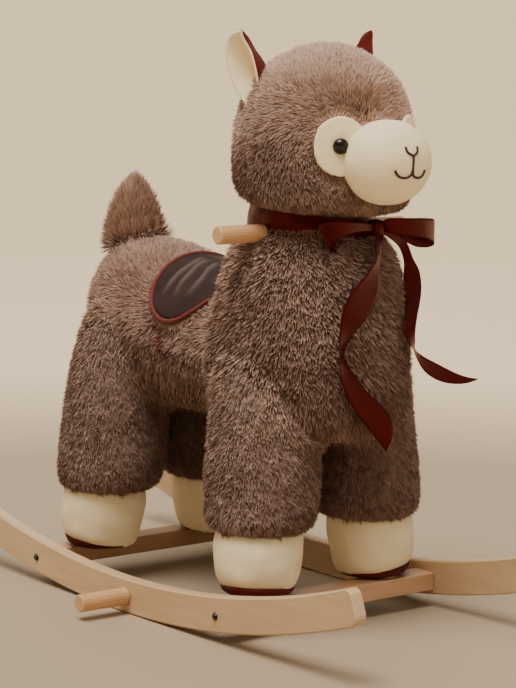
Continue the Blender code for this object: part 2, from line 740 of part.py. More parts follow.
def disc_rings(place, shares, sides=24):
    # flat disc of rings; place turns (share of the radius, angle) into a point
    bm = bmesh.new()
    loops = []
    for share in shares:
        made = bmesh.ops.create_circle(bm, cap_ends=False, segments=sides, radius=1.0)
        for i, vert in enumerate(made["verts"]):
            vert.co = place(share, 2 * math.pi * i / sides)
        loops.append(made["verts"])
    for inner, outer in zip(loops, loops[1:]):
        bridge(bm, inner, outer)
    return bm, loops[0]


def face_outward(bm, centre):
    # turn an open sheet's faces away from a point inside
    bmesh.ops.recalc_face_normals(bm, faces=bm.faces)
    bm.normal_update()
    face = bm.faces[:][0]
    if face.normal.dot(face.calc_center_median() - Vector(centre)) < 0:
        bmesh.ops.reverse_faces(bm, faces=bm.faces)


def saddle_point(share, angle):
    # a place on the seat patch, laid over the barrel
    waist = 1.0 - SEAT_WAIST * math.cos(angle) ** 2
    along = SEAT_FORWARD + share * SEAT_LENGTH / 2 * math.cos(angle) * waist
    round_angle = share * SEAT_SPAN / 2 * math.sin(angle) / BARREL_RADIUS
    return Vector((along, BARREL_RADIUS * math.sin(round_angle),
                   BARREL_Z + BARREL_RADIUS * math.cos(round_angle)))


def lay_on(sheet, surface, height, sunk=SEAT_SUNK):
    # wraps a sheet on a surface, and gives it a body that also reaches a little under it
    wrap_on(sheet, surface)
    thicken(sheet, height + sunk, (height - sunk) / (height + sunk))


def seat(body_space, neck_space):
    sides = 2 * LARGE_SIDES
    bm, hub = disc_rings(saddle_point, (0.34, 0.68, 1.0), sides)
    bm.faces.new(hub)
    face_outward(bm, (SEAT_FORWARD, 0.0, BARREL_Z))
    pad = add_object("seat_patch", bm, PARTS, SEAT_VELOUR)
    lay_on(pad, body_space, SEAT_THICKNESS)
    edge = 1.0 + 2 * (PIPING_WIDTH + GAP) / SEAT_LENGTH
    bm, hub = disc_rings(saddle_point, (1.0 + 2 * GAP / SEAT_LENGTH, edge), sides)
    face_outward(bm, (SEAT_FORWARD, 0.0, BARREL_Z))
    piping = add_object("seat_piping", bm, PARTS, PIPING_CLOTH)
    lay_on(piping, body_space, PIPING_THICKNESS)
    cut(pad, swollen(piping, 3 * GAP), neck_space, body_space)
    cut(piping, neck_space, body_space)
    return pad, piping


def eyes(head_form, head_space, snout, muzzle_space):
    # cream patch on the head, and a domed eye whose shank goes through it
    for side, outward in SIDES:
        centre = Vector((HEAD_FORWARD, 0.0, HEAD_BOTTOM + EYE_UP))
        look = Vector((EYE_FORWARD, outward * EYE_SPREAD / 2, 0.0)).normalized()
        level = Vector((0, 0, 1)).cross(look).normalized()
        surface = centre + look * HEAD_RADIUS

        def patch_point(share, angle, level=level, surface=surface):
            return (surface + level * (share * PATCH_WIDTH / 2 * math.cos(angle))
                    + Vector((0, 0, share * PATCH_HEIGHT / 2 * math.sin(angle))))

        bm, hub = disc_rings(patch_point, (0.45, 1.0), 20)
        bm.faces.new(hub)
        face_outward(bm, centre)
        patch = add_object(f"eye_patch_{side}", bm, PARTS, VELOUR)
        lay_on(patch, head_space, PATCH_THICKNESS, PATCH_SUNK)
        rim = EYE_DIAMETER / 2
        profile = [(0.0, EYE_HEIGHT)]
        for i in range(1, 4):
            turn = math.radians(30.0 * i)
            profile.append((rim * math.sin(turn), EYE_HEIGHT * math.cos(turn)))
        profile += [(rim, -EYE_SUNK), (EYE_SHANK_DIAMETER / 2, -EYE_SUNK),
                    (EYE_SHANK_DIAMETER / 2, -EYE_SHANK_LENGTH), (0.0, -EYE_SHANK_LENGTH)]
        seat_point = surface + look * (PATCH_THICKNESS - EYE_SUNK / 2)
        turned(f"eye_{side}", profile, seat_point, look, PARTS, EYE_PLASTIC, POST_SIDES)
        hole = turned(f"eye_{side}_hole", widened(profile), seat_point, look, CUTTERS, sides=POST_SIDES)
        cut(patch, head_space, muzzle_space, hole)
        cut(head_form, hole)
        cut(snout, hole)


EAR_ROWS = (  # height, then shares: mouth forward and outward, its width, its depth
    (0.00, -0.61, 0.81, 0.45, 0.60), (0.30, -0.82, 0.86, 0.92, 1.00), (0.57, -0.93, 0.90, 1.00, 1.03),
    (0.80, -1.03, 0.92, 0.88, 0.74), (1.00, -1.08, 0.93, 0.38, 0.22))


def ears(head_space):
    # leaf folded along a spine on its inner side, its mouth turned outward
    for side, outward in SIDES:
        bm = bmesh.new()
        before = None
        for height, forward, out, wide, deep in EAR_ROWS:
            centre = Vector((HEAD_FORWARD + EAR_WIDTH * forward, HEAD_RADIUS * out,
                             HEAD_BOTTOM + EAR_UP + EAR_HEIGHT * height))
            turn, fold = math.radians(EAR_TURN), math.radians(EAR_FOLD)
            half = Vector((math.cos(turn), -math.sin(turn), 0.0)) * EAR_WIDTH * wide / 2
            front, rear = centre + half, centre - half
            spine = centre + Vector((math.sin(fold), -math.cos(fold), 0.0)) * EAR_DEPTH * deep
            line = [front, front.lerp(spine, 0.6), spine, spine.lerp(rear, 0.35), spine.lerp(rear, 0.7), rear]
            verts = [bm.verts.new((point.x, point.y * outward, point.z)) for point in line]
            if before:
                for i in range(len(verts) - 1):
                    bm.faces.new((before[i], before[i + 1], verts[i + 1], verts[i]))
            before = verts
        bmesh.ops.recalc_face_normals(bm, faces=bm.faces)
        ear = add_object(f"ear_{side}", bm, PARTS, EAR_VELVET)
        subdivide(ear)
        thicken(ear, EAR_THICKNESS, 0.0)
        cut(ear, head_space, solver="MANIFOLD")


KNOT = Vector((NECK_FORWARD + BOW_FORWARD, BOW_SIDE, COLLAR_Z - BOW_DROP))
RIBBON_TAILS = (  # below the knot, then sideways and forward off the chest line, then the turn in degrees
    ("right", ((0.000, -0.0048, 0.000, 0), (0.013, -0.0055, -0.004, 0), (0.034, -0.009, 0.003, 0),
               (0.060, -0.020, 0.001, 15), (0.080, -0.037, 0.000, 60), (0.105, -0.060, 0.000, 20),
               (0.137, -0.067, 0.000, 0), (0.175, -0.060, 0.000, -25), (0.210, -0.033, 0.006, -40),
               (0.240, -0.004, 0.012, -40))),
    ("left", ((0.000, 0.0048, 0.000, 0), (0.013, 0.0055, -0.004, 0), (0.034, 0.036, 0.001, -10),
              (0.070, 0.055, 0.000, 0), (0.100, 0.041, 0.001, 0), (0.127, 0.034, 0.004, -40),
              (0.145, 0.056, 0.008, -75), (0.163, 0.092, 0.014, -75), (0.175, 0.136, 0.016, -80))))


def chest_front(side_way, z):
    # how far forward the chest reaches at a place beside the middle, on a plain round chest
    reach = CHEST_RADIUS + RIBBON_OFF_CHEST
    sunk = max(0.0, (z - SEAT_BOARD_TOP) / (COLLAR_Z - SEAT_BOARD_TOP))
    reach -= (reach - COLLAR_RADIUS - RIBBON_OFF_CHEST) * sunk ** 3
    return NECK_FORWARD + math.sqrt(max(reach ** 2 - side_way ** 2, (reach * 0.8) ** 2))


def ribbon_tail(side, rows, knot_space):
    # flat ribbon that hangs from the knot and turns about its own length
    bm = bmesh.new()
    before = None
    for below, sideways, forward, turn in rows:
        y, z = KNOT.y + sideways, KNOT.z - below
        place = Vector((chest_front(y, z) + forward, y, z))
        if below == 0.0:
            place.x = KNOT.x
        angle = math.radians(turn)
        gathered = min(1.0, TAIL_GATHER + (1.0 - TAIL_GATHER) * below / (2 * KNOT_SIZE))
        half = Vector((0.0, math.cos(angle), math.sin(angle))) * TAIL_RIBBON_WIDTH / 2 * gathered
        pair = [bm.verts.new(place - half), bm.verts.new(place + half)]
        if before:
            bm.faces.new((before[0], before[1], pair[1], pair[0]))
        before = pair
    bmesh.ops.recalc_face_normals(bm, faces=bm.faces)
    made = add_object(f"ribbon_tail_{side}", bm, PARTS, SATIN)
    subdivide(made)
    thicken(made, RIBBON_THICKNESS, 0.0)
    cut(made, knot_space)
    return made


def bow_loop(name, tip_y):
    # one flat loop, from the knot out to its drooping tip and back
    reach = tip_y - KNOT.y
    bm = bmesh.new()
    pairs = []
    steps = 16
    for i in range(steps):
        turn = 2 * math.pi * i / steps
        along = 0.5 - 0.5 * math.cos(turn)
        depth = BOW_DEPTH / 2 * math.sin(turn) * (0.35 + 0.65 * along)
        place = KNOT + Vector((depth, reach * along, -BOW_DROOP * along))
        half = Vector((0.0, 0.0, RIBBON_WIDTH / 2 * (0.55 + 0.45 * along)))
        pairs.append([bm.verts.new(place - half), bm.verts.new(place + half)])
    for i in range(steps):
        near, far = pairs[i - 1], pairs[i]
        bm.faces.new((near[0], near[1], far[1], far[0]))
    bmesh.ops.recalc_face_normals(bm, faces=bm.faces)
    made = add_object(name, bm, CUTTERS)
    thicken(made, RIBBON_THICKNESS, 0.0)
    return made


def ribbon(neck_space, bore):
    bm = bmesh.new()
    bmesh.ops.create_cone(bm, cap_ends=False, segments=2 * POST_SIDES, radius1=COLLAR_RADIUS + 2 * COLLAR_EASE,
                          radius2=COLLAR_RADIUS + COLLAR_EASE, depth=RIBBON_WIDTH)
    bmesh.ops.rotate(bm, verts=bm.verts, matrix=Matrix.Rotation(math.radians(COLLAR_TILT), 3, "Y"))
    bmesh.ops.translate(bm, verts=bm.verts, vec=(NECK_FORWARD, 0.0, COLLAR_Z))
    collar = add_object("ribbon_collar", bm, PARTS, SATIN)
    thicken(collar, RIBBON_THICKNESS * 2, 0.0)
    half = KNOT_SIZE / 2
    knot_half = Vector((half, half, half))
    bow = box("ribbon_bow", KNOT - knot_half, KNOT + knot_half, PARTS, SATIN)
    round_edges(bow, KNOT_SIZE / 5)
    join(bow, bow_loop("bow_loop_right", BOW_SIDE - BOW_HALF_WIDTH),
         bow_loop("bow_loop_left", BOW_SIDE + BOW_HALF_WIDTH))
    cut(bow, swollen(collar), neck_space)
    cut(collar, neck_space, bore)
    grown = knot_half + Vector((GAP, GAP, GAP))
    knot_space = box("knot_space", KNOT - grown, KNOT + grown, CUTTERS)
    for side, rows in RIBBON_TAILS:
        ribbon_tail(side, rows, knot_space)


def build():
    posts = wooden_frame()
    seat_space, neck_space, bore = inner_frame(posts)
    body = barrel()
    neck = neck_column()
    body_skin, neck_skin = swollen(body), swollen(neck)
    legs, feet = {}, {}
    for end, forward in ENDS:
        for side, outward in SIDES:
            one = leg(end, forward, side, outward)
            paw = foot(end, forward, side, outward)
            pad = sole(end, forward, side, outward)
            cut(paw, swollen(one), posts[end, side])
            cut(pad, posts[end, side])
            cut(one, body_skin, neck_skin, posts[end, side])
    seat(body_skin, neck_skin)
    brush = tail()
    cut(brush, body_skin)
    skull = head()
    snout = muzzle()
    skull_skin = swollen(skull)
    eyes(skull, skull_skin, snout, swollen(snout))
    ears(skull_skin)
    cut(snout, skull_skin)
    cut(skull, neck_skin, neck_space)
    ribbon(neck_skin, bore)
    cut(body, neck_skin, seat_space, posts["rear", "right"], posts["rear", "left"])
    cut(neck, seat_space, neck_space, bore, posts["front", "right"], posts["front", "left"])


build()
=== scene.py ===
import json
import math

import bmesh
import bpy
from mathutils import Euler, Matrix, Vector, noise
from mathutils.bvhtree import BVHTree

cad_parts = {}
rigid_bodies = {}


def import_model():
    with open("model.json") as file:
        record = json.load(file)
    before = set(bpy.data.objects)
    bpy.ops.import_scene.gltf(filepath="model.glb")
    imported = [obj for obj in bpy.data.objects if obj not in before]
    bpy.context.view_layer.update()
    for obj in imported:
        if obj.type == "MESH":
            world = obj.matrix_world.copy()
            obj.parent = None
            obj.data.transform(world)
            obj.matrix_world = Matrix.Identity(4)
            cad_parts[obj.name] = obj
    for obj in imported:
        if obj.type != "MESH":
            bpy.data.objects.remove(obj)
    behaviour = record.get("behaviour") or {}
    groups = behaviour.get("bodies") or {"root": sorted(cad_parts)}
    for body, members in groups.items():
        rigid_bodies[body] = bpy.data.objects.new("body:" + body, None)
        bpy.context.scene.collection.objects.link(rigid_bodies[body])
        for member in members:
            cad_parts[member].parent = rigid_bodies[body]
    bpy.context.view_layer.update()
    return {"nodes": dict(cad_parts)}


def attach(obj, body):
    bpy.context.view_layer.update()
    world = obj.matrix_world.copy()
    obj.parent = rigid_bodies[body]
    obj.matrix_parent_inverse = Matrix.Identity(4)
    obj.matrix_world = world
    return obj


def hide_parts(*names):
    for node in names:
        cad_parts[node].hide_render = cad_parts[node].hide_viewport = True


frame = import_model()
scene = bpy.context.scene

# Camera at the photograph's angle
view = {
    "place": (2.2016, -1.7243, 0.6813),
    "turn": 141.413, "dip": -7.878, "roll": 0.801,  # degrees
    "lens": 127.67, "sensor": 36, "width": 516, "height": 688,  # the photograph's own size
}


def viewAxes():
    turn, dip, roll = (math.radians(view[key]) for key in ("turn", "dip", "roll"))
    ahead = Vector((math.cos(turn) * math.cos(dip), math.sin(turn) * math.cos(dip), math.sin(dip)))
    right = Vector((math.sin(turn), -math.cos(turn), 0))
    up = right.cross(ahead)
    return right * math.cos(roll) + up * math.sin(roll), up * math.cos(roll) - right * math.sin(roll), ahead


def seen(across, down, forward):
    # the point behind a place in the photograph, forward millimetres ahead of the middle
    right, up, ahead = viewAxes()
    focal = view["lens"] / view["sensor"] * view["height"]
    ray = ahead + right * (across - view["width"] / 2) / focal + up * (view["height"] / 2 - down) / focal
    start = Vector(view["place"])
    return start + ray * (forward / 1000 - start.x) / ray.x


def shown(point):
    # the place in the photograph where a point is seen
    right, up, ahead = viewAxes()
    away = Vector(point) - Vector(view["place"])
    focal = view["lens"] / view["sensor"] * view["height"] / away.dot(ahead)
    return Vector((view["width"] / 2 + away.dot(right) * focal, view["height"] / 2 - away.dot(up) * focal))


def newObject(name, data):
    made = bpy.data.objects.new(name, data)
    scene.collection.objects.link(made)
    return made


def placeCamera():
    lens = bpy.data.cameras.new("photoCamera")
    lens.lens = view["lens"]
    lens.clip_end = 2000
    camera = newObject("photoCamera", lens)
    right, up, ahead = viewAxes()
    camera.matrix_world = Matrix((right, up, -ahead)).transposed().to_4x4()
    camera.location = view["place"]
    scene.camera = camera


placeCamera()


# Small helpers for nodes, meshes and pieces
def wireUp(tree, node, wires):
    # a link for a socket, a value on the node's own socket for anything else
    for key, value in wires.items():
        if isinstance(value, bpy.types.NodeSocket):
            tree.links.new(value, node.inputs[key])
        else:
            node.inputs[key].default_value = value


def addNode(tree, kind, wires=None, **settings):
    node = tree.nodes.new(kind)
    for key, value in settings.items():
        setattr(node, key, value)
    wireUp(tree, node, wires or {})
    return node


def feed(tree, node, **wires):
    wireUp(tree, node, {label.replace("_", " "): value for label, value in wires.items()})


def maths(tree, operation, first, second=0.0, clamp=False):
    node = addNode(tree, "ShaderNodeMath", {0: first, 1: second}, operation=operation, use_clamp=clamp)
    return node.outputs[0]


def stretched(tree, value, factor, offset=0.0, clamp=False):
    return maths(tree, "ADD", maths(tree, "MULTIPLY", value, factor), offset, clamp)


def over(tree, value, middle, factor, clamp=False):
    # how far a value is over its middle, times a factor
    return maths(tree, "MULTIPLY", maths(tree, "SUBTRACT", value, middle, clamp), factor, clamp)


def noiseOf(tree, vector, scale, detail=2.0, roughness=0.5):
    node = addNode(tree, "ShaderNodeTexNoise", {"Vector": vector, "Scale": scale, "Detail": detail,
                                                "Roughness": roughness})
    return node.outputs["Fac"]


def wavesOf(tree, vector, scale, distortion, direction):
    node = addNode(tree, "ShaderNodeTexWave", {"Vector": vector, "Scale": scale, "Distortion": distortion},
                   bands_direction=direction)
    return node.outputs["Fac"]


def mixColours(tree, share, first, second, blend="MIX"):
    first, second = ((*colour, 1) if isinstance(colour, tuple) else colour for colour in (first, second))
    node = addNode(tree, "ShaderNodeMix", {0: share, 6: first, 7: second}, data_type="RGBA", blend_type=blend)
    return node.outputs[2]


def ramp(tree, share, stops):
    node = addNode(tree, "ShaderNodeValToRGB", {"Fac": share})
    elements = node.color_ramp.elements
    while len(elements) < len(stops):
        elements.new(0.5)
    for element, (place, colour) in zip(elements, stops):
        element.position = place
        element.color = (*colour, 1)
    return node.outputs["Color"]


def newGroup(name, kind, inputs, outputs):
    tree = bpy.data.node_groups.new(name, kind)
    for way, sockets in (("INPUT", inputs), ("OUTPUT", outputs)):
        for label, socket in sockets:
            tree.interface.new_socket(label, in_out=way, socket_type="NodeSocket" + socket)
    return tree, addNode(tree, "NodeGroupInput"), addNode(tree, "NodeGroupOutput")


def newMaterial(name, roughness, **constants):
    material = bpy.data.materials.new(name)
    material.use_nodes = True
    tree = material.node_tree
    shader = tree.nodes["Principled BSDF"]
    feed(tree, shader, Roughness=roughness, **constants)
    return material, tree, shader


def useGroup(tree, group, **values):
    wires = {label: (*value, 1) if isinstance(value, tuple) else value for label, value in values.items()}
    return addNode(tree, "ShaderNodeGroup", wires, node_tree=group)


def bumpInto(tree, shader, height, distance, strength=1.0):
    bump = addNode(tree, "ShaderNodeBump", {"Height": height, "Distance": distance, "Strength": strength})
    feed(tree, shader, Normal=bump.outputs["Normal"])


def placed(tree, scale=(1, 1, 1)):
    spot = addNode(tree, "ShaderNodeTexCoord").outputs["Object"]
    return addNode(tree, "ShaderNodeMapping", {"Vector": spot, "Scale": scale}).outputs["Vector"]


# Effects that several materials share
groupInputs = (("Vector", "Vector"), ("Light", "Color"), ("Dark", "Color"))


def grainGroup():
    tree, source, result = newGroup("woodGrain", "ShaderNodeTree", (*groupInputs, ("Bands", "Float")),
                                    (("Color", "Color"), ("Roughness", "Float"), ("Height", "Float")))
    given = source.outputs
    rings = maths(tree, "MULTIPLY", noiseOf(tree, given["Vector"], 1.3, 3.0), given["Bands"])
    stripes = maths(tree, "PINGPONG", rings, 1.0)
    pores = noiseOf(tree, given["Vector"], 9.0, 6.0, 0.7)
    fleck = over(tree, pores, 0.42, 2.2, True)
    share = stretched(tree, stripes, 0.45, maths(tree, "MULTIPLY", fleck, 0.65), True)
    feed(tree, result, Color=mixColours(tree, share, given["Light"], given["Dark"]),
         Roughness=stretched(tree, fleck, 0.18, 0.36), Height=maths(tree, "SUBTRACT", 1.0, fleck))
    return tree


def napGroup():
    # short pile: fine grain with soft cloudy brushing
    tree, source, result = newGroup("shortNap", "ShaderNodeTree", (*groupInputs, ("Clouds", "Float")),
                                    (("Color", "Color"), ("Height", "Float")))
    given = source.outputs
    fine, clouds = noiseOf(tree, given["Vector"], 900.0), noiseOf(tree, given["Vector"], 28.0, 4.0)
    brushed, grain = over(tree, clouds, 0.45, given["Clouds"]), over(tree, fine, 0.5, 0.9)
    share = maths(tree, "ADD", maths(tree, "ADD", brushed, grain), 0.4, True)
    feed(tree, result, Color=mixColours(tree, share, given["Light"], given["Dark"]),
         Height=maths(tree, "ADD", fine, maths(tree, "MULTIPLY", clouds, 0.6)))
    return tree


def weaveGroup():
    # threads across and along a strip's own map
    tree, source, result = newGroup("threadWeave", "ShaderNodeTree", groupInputs,
                                    (("Color", "Color"), ("Height", "Float")))
    given = source.outputs
    warp, weft = (wavesOf(tree, given["Vector"], 1.0, 0.6, direction) for direction in ("X", "Y"))
    threads = maths(tree, "MAXIMUM", warp, maths(tree, "MULTIPLY", weft, 0.8))
    feed(tree, result, Color=mixColours(tree, threads, given["Dark"], given["Light"]), Height=threads)
    return tree


woodGrain, shortNap, threadWeave = grainGroup(), napGroup(), weaveGroup()
print("shared effects ready")


# Wood of the base and the bars
woods = {
    "plywood": {"light": (0.63, 0.43, 0.245), "dark": (0.50, 0.315, 0.160), "scale": (3, 40, 40)},
    "crossbar": {"light": (0.57, 0.335, 0.180), "dark": (0.41, 0.225, 0.110), "scale": (45, 4, 45)},
    "dowel": {"light": (0.65, 0.375, 0.185), "dark": (0.50, 0.265, 0.115), "scale": (60, 5, 60)},
}
plies = {
    "inner": 0.145, "thickness": 0.015, "count": 7,
    "lightPly": (0.60, 0.410, 0.230), "darkPly": (0.54, 0.360, 0.195),
}


def woodMaterial(name):
    kind = woods[name]
    material, tree, shader = newMaterial(name, 0.42, Coat_Weight=0.18, Coat_Roughness=0.3)
    grain = useGroup(tree, woodGrain, Vector=placed(tree, kind["scale"]), Light=kind["light"],
                     Dark=kind["dark"], Bands=7.0)
    colour = grain.outputs["Color"]
    if name == "plywood":
        sideways = addNode(tree, "ShaderNodeSeparateXYZ", {0: placed(tree)}).outputs["Y"]
        across = maths(tree, "ABSOLUTE", sideways)
        depth = maths(tree, "DIVIDE", maths(tree, "SUBTRACT", across, plies["inner"]), plies["thickness"])
        layer = maths(tree, "PINGPONG", maths(tree, "MULTIPLY", depth, plies["count"]), 1.0)
        inside = maths(tree, "MULTIPLY", maths(tree, "GREATER_THAN", depth, 0.01),
                       maths(tree, "LESS_THAN", depth, 0.99))
        striped = ramp(tree, layer, ((0.25, plies["darkPly"]), (0.55, plies["lightPly"])))
        colour = mixColours(tree, maths(tree, "MULTIPLY", inside, 0.8), colour, striped)
    feed(tree, shader, Base_Color=colour, Roughness=grain.outputs["Roughness"])
    bumpInto(tree, shader, grain.outputs["Height"], 0.0002, 0.5)
    return material


plywood, crossbarWood, dowelWood = (woodMaterial(name) for name in ("plywood", "crossbar", "dowel"))


def metalMaterial(name, light, dark, roughness, metallic):
    material, tree, shader = newMaterial(name, roughness, Metallic=metallic)
    spots = noiseOf(tree, placed(tree), 700.0, 4.0)
    feed(tree, shader, Base_Color=mixColours(tree, spots, light, dark),
         Roughness=stretched(tree, spots, 0.2, roughness - 0.1))
    bumpInto(tree, shader, spots, 0.00005)
    return material


blackSteel = metalMaterial("blackSteel", (0.03, 0.028, 0.026), (0.012, 0.012, 0.012), 0.38, 0.6)
zincSteel = metalMaterial("zincSteel", (0.62, 0.62, 0.60), (0.42, 0.42, 0.40), 0.32, 1.0)

# Cloth
cloths = {
    "creamVelour": {"light": (0.95, 0.815, 0.55), "dark": (0.88, 0.74, 0.48), "clouds": 0.5, "sheen": 0.04},
    "soleFelt": {"light": (0.115, 0.011, 0.007), "dark": (0.055, 0.005, 0.004), "clouds": 1.2, "sheen": 0.05},
    "seatVelour": {"light": (0.041, 0.021, 0.018), "dark": (0.020, 0.0105, 0.0088), "clouds": 1.6,
                   "sheen": 0.03},
    "earVelvet": {"light": (0.165, 0.013, 0.008), "dark": (0.060, 0.005, 0.003), "clouds": 1.4,
                  "sheen": 0.06},
}
# painted highlight: a lighter colour along the raised creases of the seat
creaseHighlightColour, creaseHighlightShare = (0.20, 0.145, 0.125), 0.45


def napMaterial(name):
    kind = cloths[name]
    material, tree, shader = newMaterial(name, 0.85, Sheen_Weight=kind["sheen"], Sheen_Roughness=0.45,
                                         Specular_IOR_Level=0.15)
    nap = useGroup(tree, shortNap, Vector=placed(tree), Light=kind["light"], Dark=kind["dark"],
                   Clouds=kind["clouds"])
    colour = nap.outputs["Color"]
    if name == "seatVelour":
        # painted highlight: the seat is painted lighter along its raised creases
        crease = addNode(tree, "ShaderNodeAttribute", attribute_name="crease").outputs["Fac"]
        colour = mixColours(tree, maths(tree, "MULTIPLY", crease, creaseHighlightShare), colour, creaseHighlightColour)
    feed(tree, shader, Base_Color=colour)
    bumpInto(tree, shader, nap.outputs["Height"], 0.0004, 0.6)
    return material


creamVelour, soleFelt, seatVelour, earVelvet = (napMaterial(name) for name in cloths)

satin = {
    "light": (0.060, 0.003, 0.004), "dark": (0.020, 0.001, 0.001), "glint": (1.0, 0.22, 0.17),
    "threads": (90, 900, 1),
}


def satinMaterial():
    material, tree, shader = newMaterial("satinRibbon", 0.3, Specular_IOR_Level=0.34, Metallic=0.25,
                                         Specular_Tint=(*satin["glint"], 1))
    spot = addNode(tree, "ShaderNodeUVMap", uv_map="ribbonMap").outputs["UV"]
    grid = addNode(tree, "ShaderNodeMapping", {"Vector": spot, "Scale": satin["threads"]}).outputs["Vector"]
    weave = useGroup(tree, threadWeave, Vector=grid, Light=satin["light"], Dark=satin["dark"])
    feed(tree, shader, Base_Color=weave.outputs["Color"],
         Roughness=stretched(tree, weave.outputs["Height"], -0.08, 0.31))
    bumpInto(tree, shader, weave.outputs["Height"], 0.00006, 0.5)
    return material


def cordMaterial(name, light, dark):
    # twisted thread of the piping and the stitches
    material, tree, shader = newMaterial(name, 0.75, Sheen_Weight=0.04)
    twist = wavesOf(tree, placed(tree), 160.0, 1.5, "DIAGONAL")
    feed(tree, shader, Base_Color=mixColours(tree, twist, dark, light))
    bumpInto(tree, shader, twist, 0.0003, 0.6)
    return material


satinRibbon = satinMaterial()
pipingCloth = cordMaterial("pipingCloth", (0.155, 0.013, 0.008), (0.095, 0.008, 0.005))
brownThread = cordMaterial("brownThread", (0.050, 0.022, 0.012), (0.020, 0.008, 0.005))
redThread = cordMaterial("redThread", (0.16, 0.018, 0.012), (0.07, 0.008, 0.006))


def eyeMaterial():
    material, tree, shader = newMaterial("eyeGloss", 0.16, Specular_IOR_Level=0.35)
    flecks = noiseOf(tree, placed(tree), 500.0)
    feed(tree, shader, Base_Color=mixColours(tree, flecks, (0.012, 0.008, 0.006), (0.004, 0.003, 0.003)))
    return material


eyeGloss = eyeMaterial()

# Long pile: dark at the root, light at the tip, each strand a little different
pileColour = {
    "root": (0.310, 0.178, 0.136), "middle": (0.45, 0.287, 0.218), "tip": (0.67, 0.495, 0.408),
    "sheen": (1.0, 0.80, 0.70),
    "shaded": (0.33, 0.235, 0.200),  # multiplies the darker strands: painted shade on sides and undersides, and random darker strands
    "skin": ((0.170, 0.088, 0.060), (0.110, 0.054, 0.036)),
}


def pileMaterial():
    material, tree, shader = newMaterial("pileBrown", 0.72, Sheen_Weight=0.55, Sheen_Roughness=0.4,
                                         Specular_IOR_Level=0.2, Sheen_Tint=(*pileColour["sheen"], 1))
    along, shade = (addNode(tree, "ShaderNodeAttribute", attribute_name=name).outputs["Fac"]
                    for name in ("along", "shade"))
    stops = [(place, pileColour[name]) for place, name in ((0.0, "root"), (0.5, "middle"), (1.0, "tip"))]
    colour = ramp(tree, along, stops)
    # painted shade: strands with a low shade value take the darker colour
    darker = mixColours(tree, 1.0, colour, pileColour["shaded"], "MULTIPLY")
    feed(tree, shader, Base_Color=mixColours(tree, shade, darker, colour))
    return material


def skinMaterial():
    material, tree, shader = newMaterial("backingBrown", 0.9)
    nap = useGroup(tree, shortNap, Vector=placed(tree, (0.4, 0.4, 0.4)), Light=pileColour["skin"][0],
                   Dark=pileColour["skin"][1], Clouds=1.5)
    feed(tree, shader, Base_Color=nap.outputs["Color"])
    bumpInto(tree, shader, nap.outputs["Height"], 0.001)
    return material


pileBrown, backingBrown = pileMaterial(), skinMaterial()
print("materials ready")


def meshPiece(name, bm, material):
    mesh = bpy.data.meshes.new(name)
    bm.to_mesh(mesh)
    bm.free()
    mesh.polygons.foreach_set("use_smooth", [True] * len(mesh.polygons))
    mesh.materials.append(material)
    return newObject(name, mesh)


def settledMesh(piece):
    bpy.context.view_layer.update()
    return bpy.data.meshes.new_from_object(piece.evaluated_get(bpy.context.evaluated_depsgraph_get()))


def fixShape(piece):
    # the modifiers' result becomes the mesh
    made, old = settledMesh(piece), piece.data
    piece.modifiers.clear()
    piece.data = made
    made.name = piece.name
    bpy.data.meshes.remove(old)


def meshOf(*names):
    # CAD nodes, or pieces made here, as one mesh
    bm = bmesh.new()
    for name in names:
        bm.from_mesh((frame["nodes"].get(name) or bpy.data.objects[name]).data)
    bmesh.ops.remove_doubles(bm, verts=bm.verts, dist=0.00002)
    return bm


def shapeOf(*names):
    bm = meshOf(*names)
    shape = BVHTree.FromBMesh(bm)
    bm.free()
    return shape


def dress(piece, slot, *nodes):
    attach(piece, "root")
    if nodes:
        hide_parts(*nodes)


def extent(piece):
    return [[edge(vert.co[i] for vert in piece.data.vertices) for i in range(3)] for edge in (min, max)]


def titled(name):
    return "".join(word.capitalize() for word in name.split("_"))


def softCopy(node, material, voxel, rounds, name=None):
    # an even skin over a CAD solid, its corners eased
    piece = meshPiece(name or node[0] + titled(node)[1:], meshOf(node), material)
    low, high = extent(piece)
    even = piece.modifiers.new("even", "REMESH")
    even.mode, even.voxel_size, even.use_smooth_shade = "VOXEL", voxel, True
    eased = piece.modifiers.new("eased", "SMOOTH")
    eased.factor, eased.iterations = 0.5, rounds
    fixShape(piece)
    first, last = extent(piece)  # fitted back to the solid's own box
    for vert in piece.data.vertices:
        vert.co = [low[i] + (vert.co[i] - first[i]) * (high[i] - low[i]) / (last[i] - first[i])
                   for i in range(3)]
    return piece


def pathPoint(rows, share):
    # smooth curve through rows of numbers
    place = min(1.0, max(0.0, share)) * (len(rows) - 1)
    index = min(int(place), len(rows) - 2)
    t = place - index
    before, start, finish, after = (rows[min(max(index + step, 0), len(rows) - 1)] for step in (-1, 0, 1, 2))
    return [0.5 * (2 * b + (c - a) * t + (2 * a - 5 * b + 4 * c - d) * t * t
                   + (3 * b - a - 3 * c + d) * t ** 3)
            for a, b, c, d in zip(before, start, finish, after)]


def thicken(piece, thickness, offset=0.0, backSlot=0):
    body = piece.modifiers.new("body", "SOLIDIFY")
    body.thickness, body.offset, body.material_offset = thickness, offset, backSlot


def refine(piece):
    finer = piece.modifiers.new("finer", "SUBSURF")
    finer.levels = finer.render_levels = 1


sides = ("right", "left")
corners = [f"{end}_{side}" for end in ("front", "rear") for side in sides]
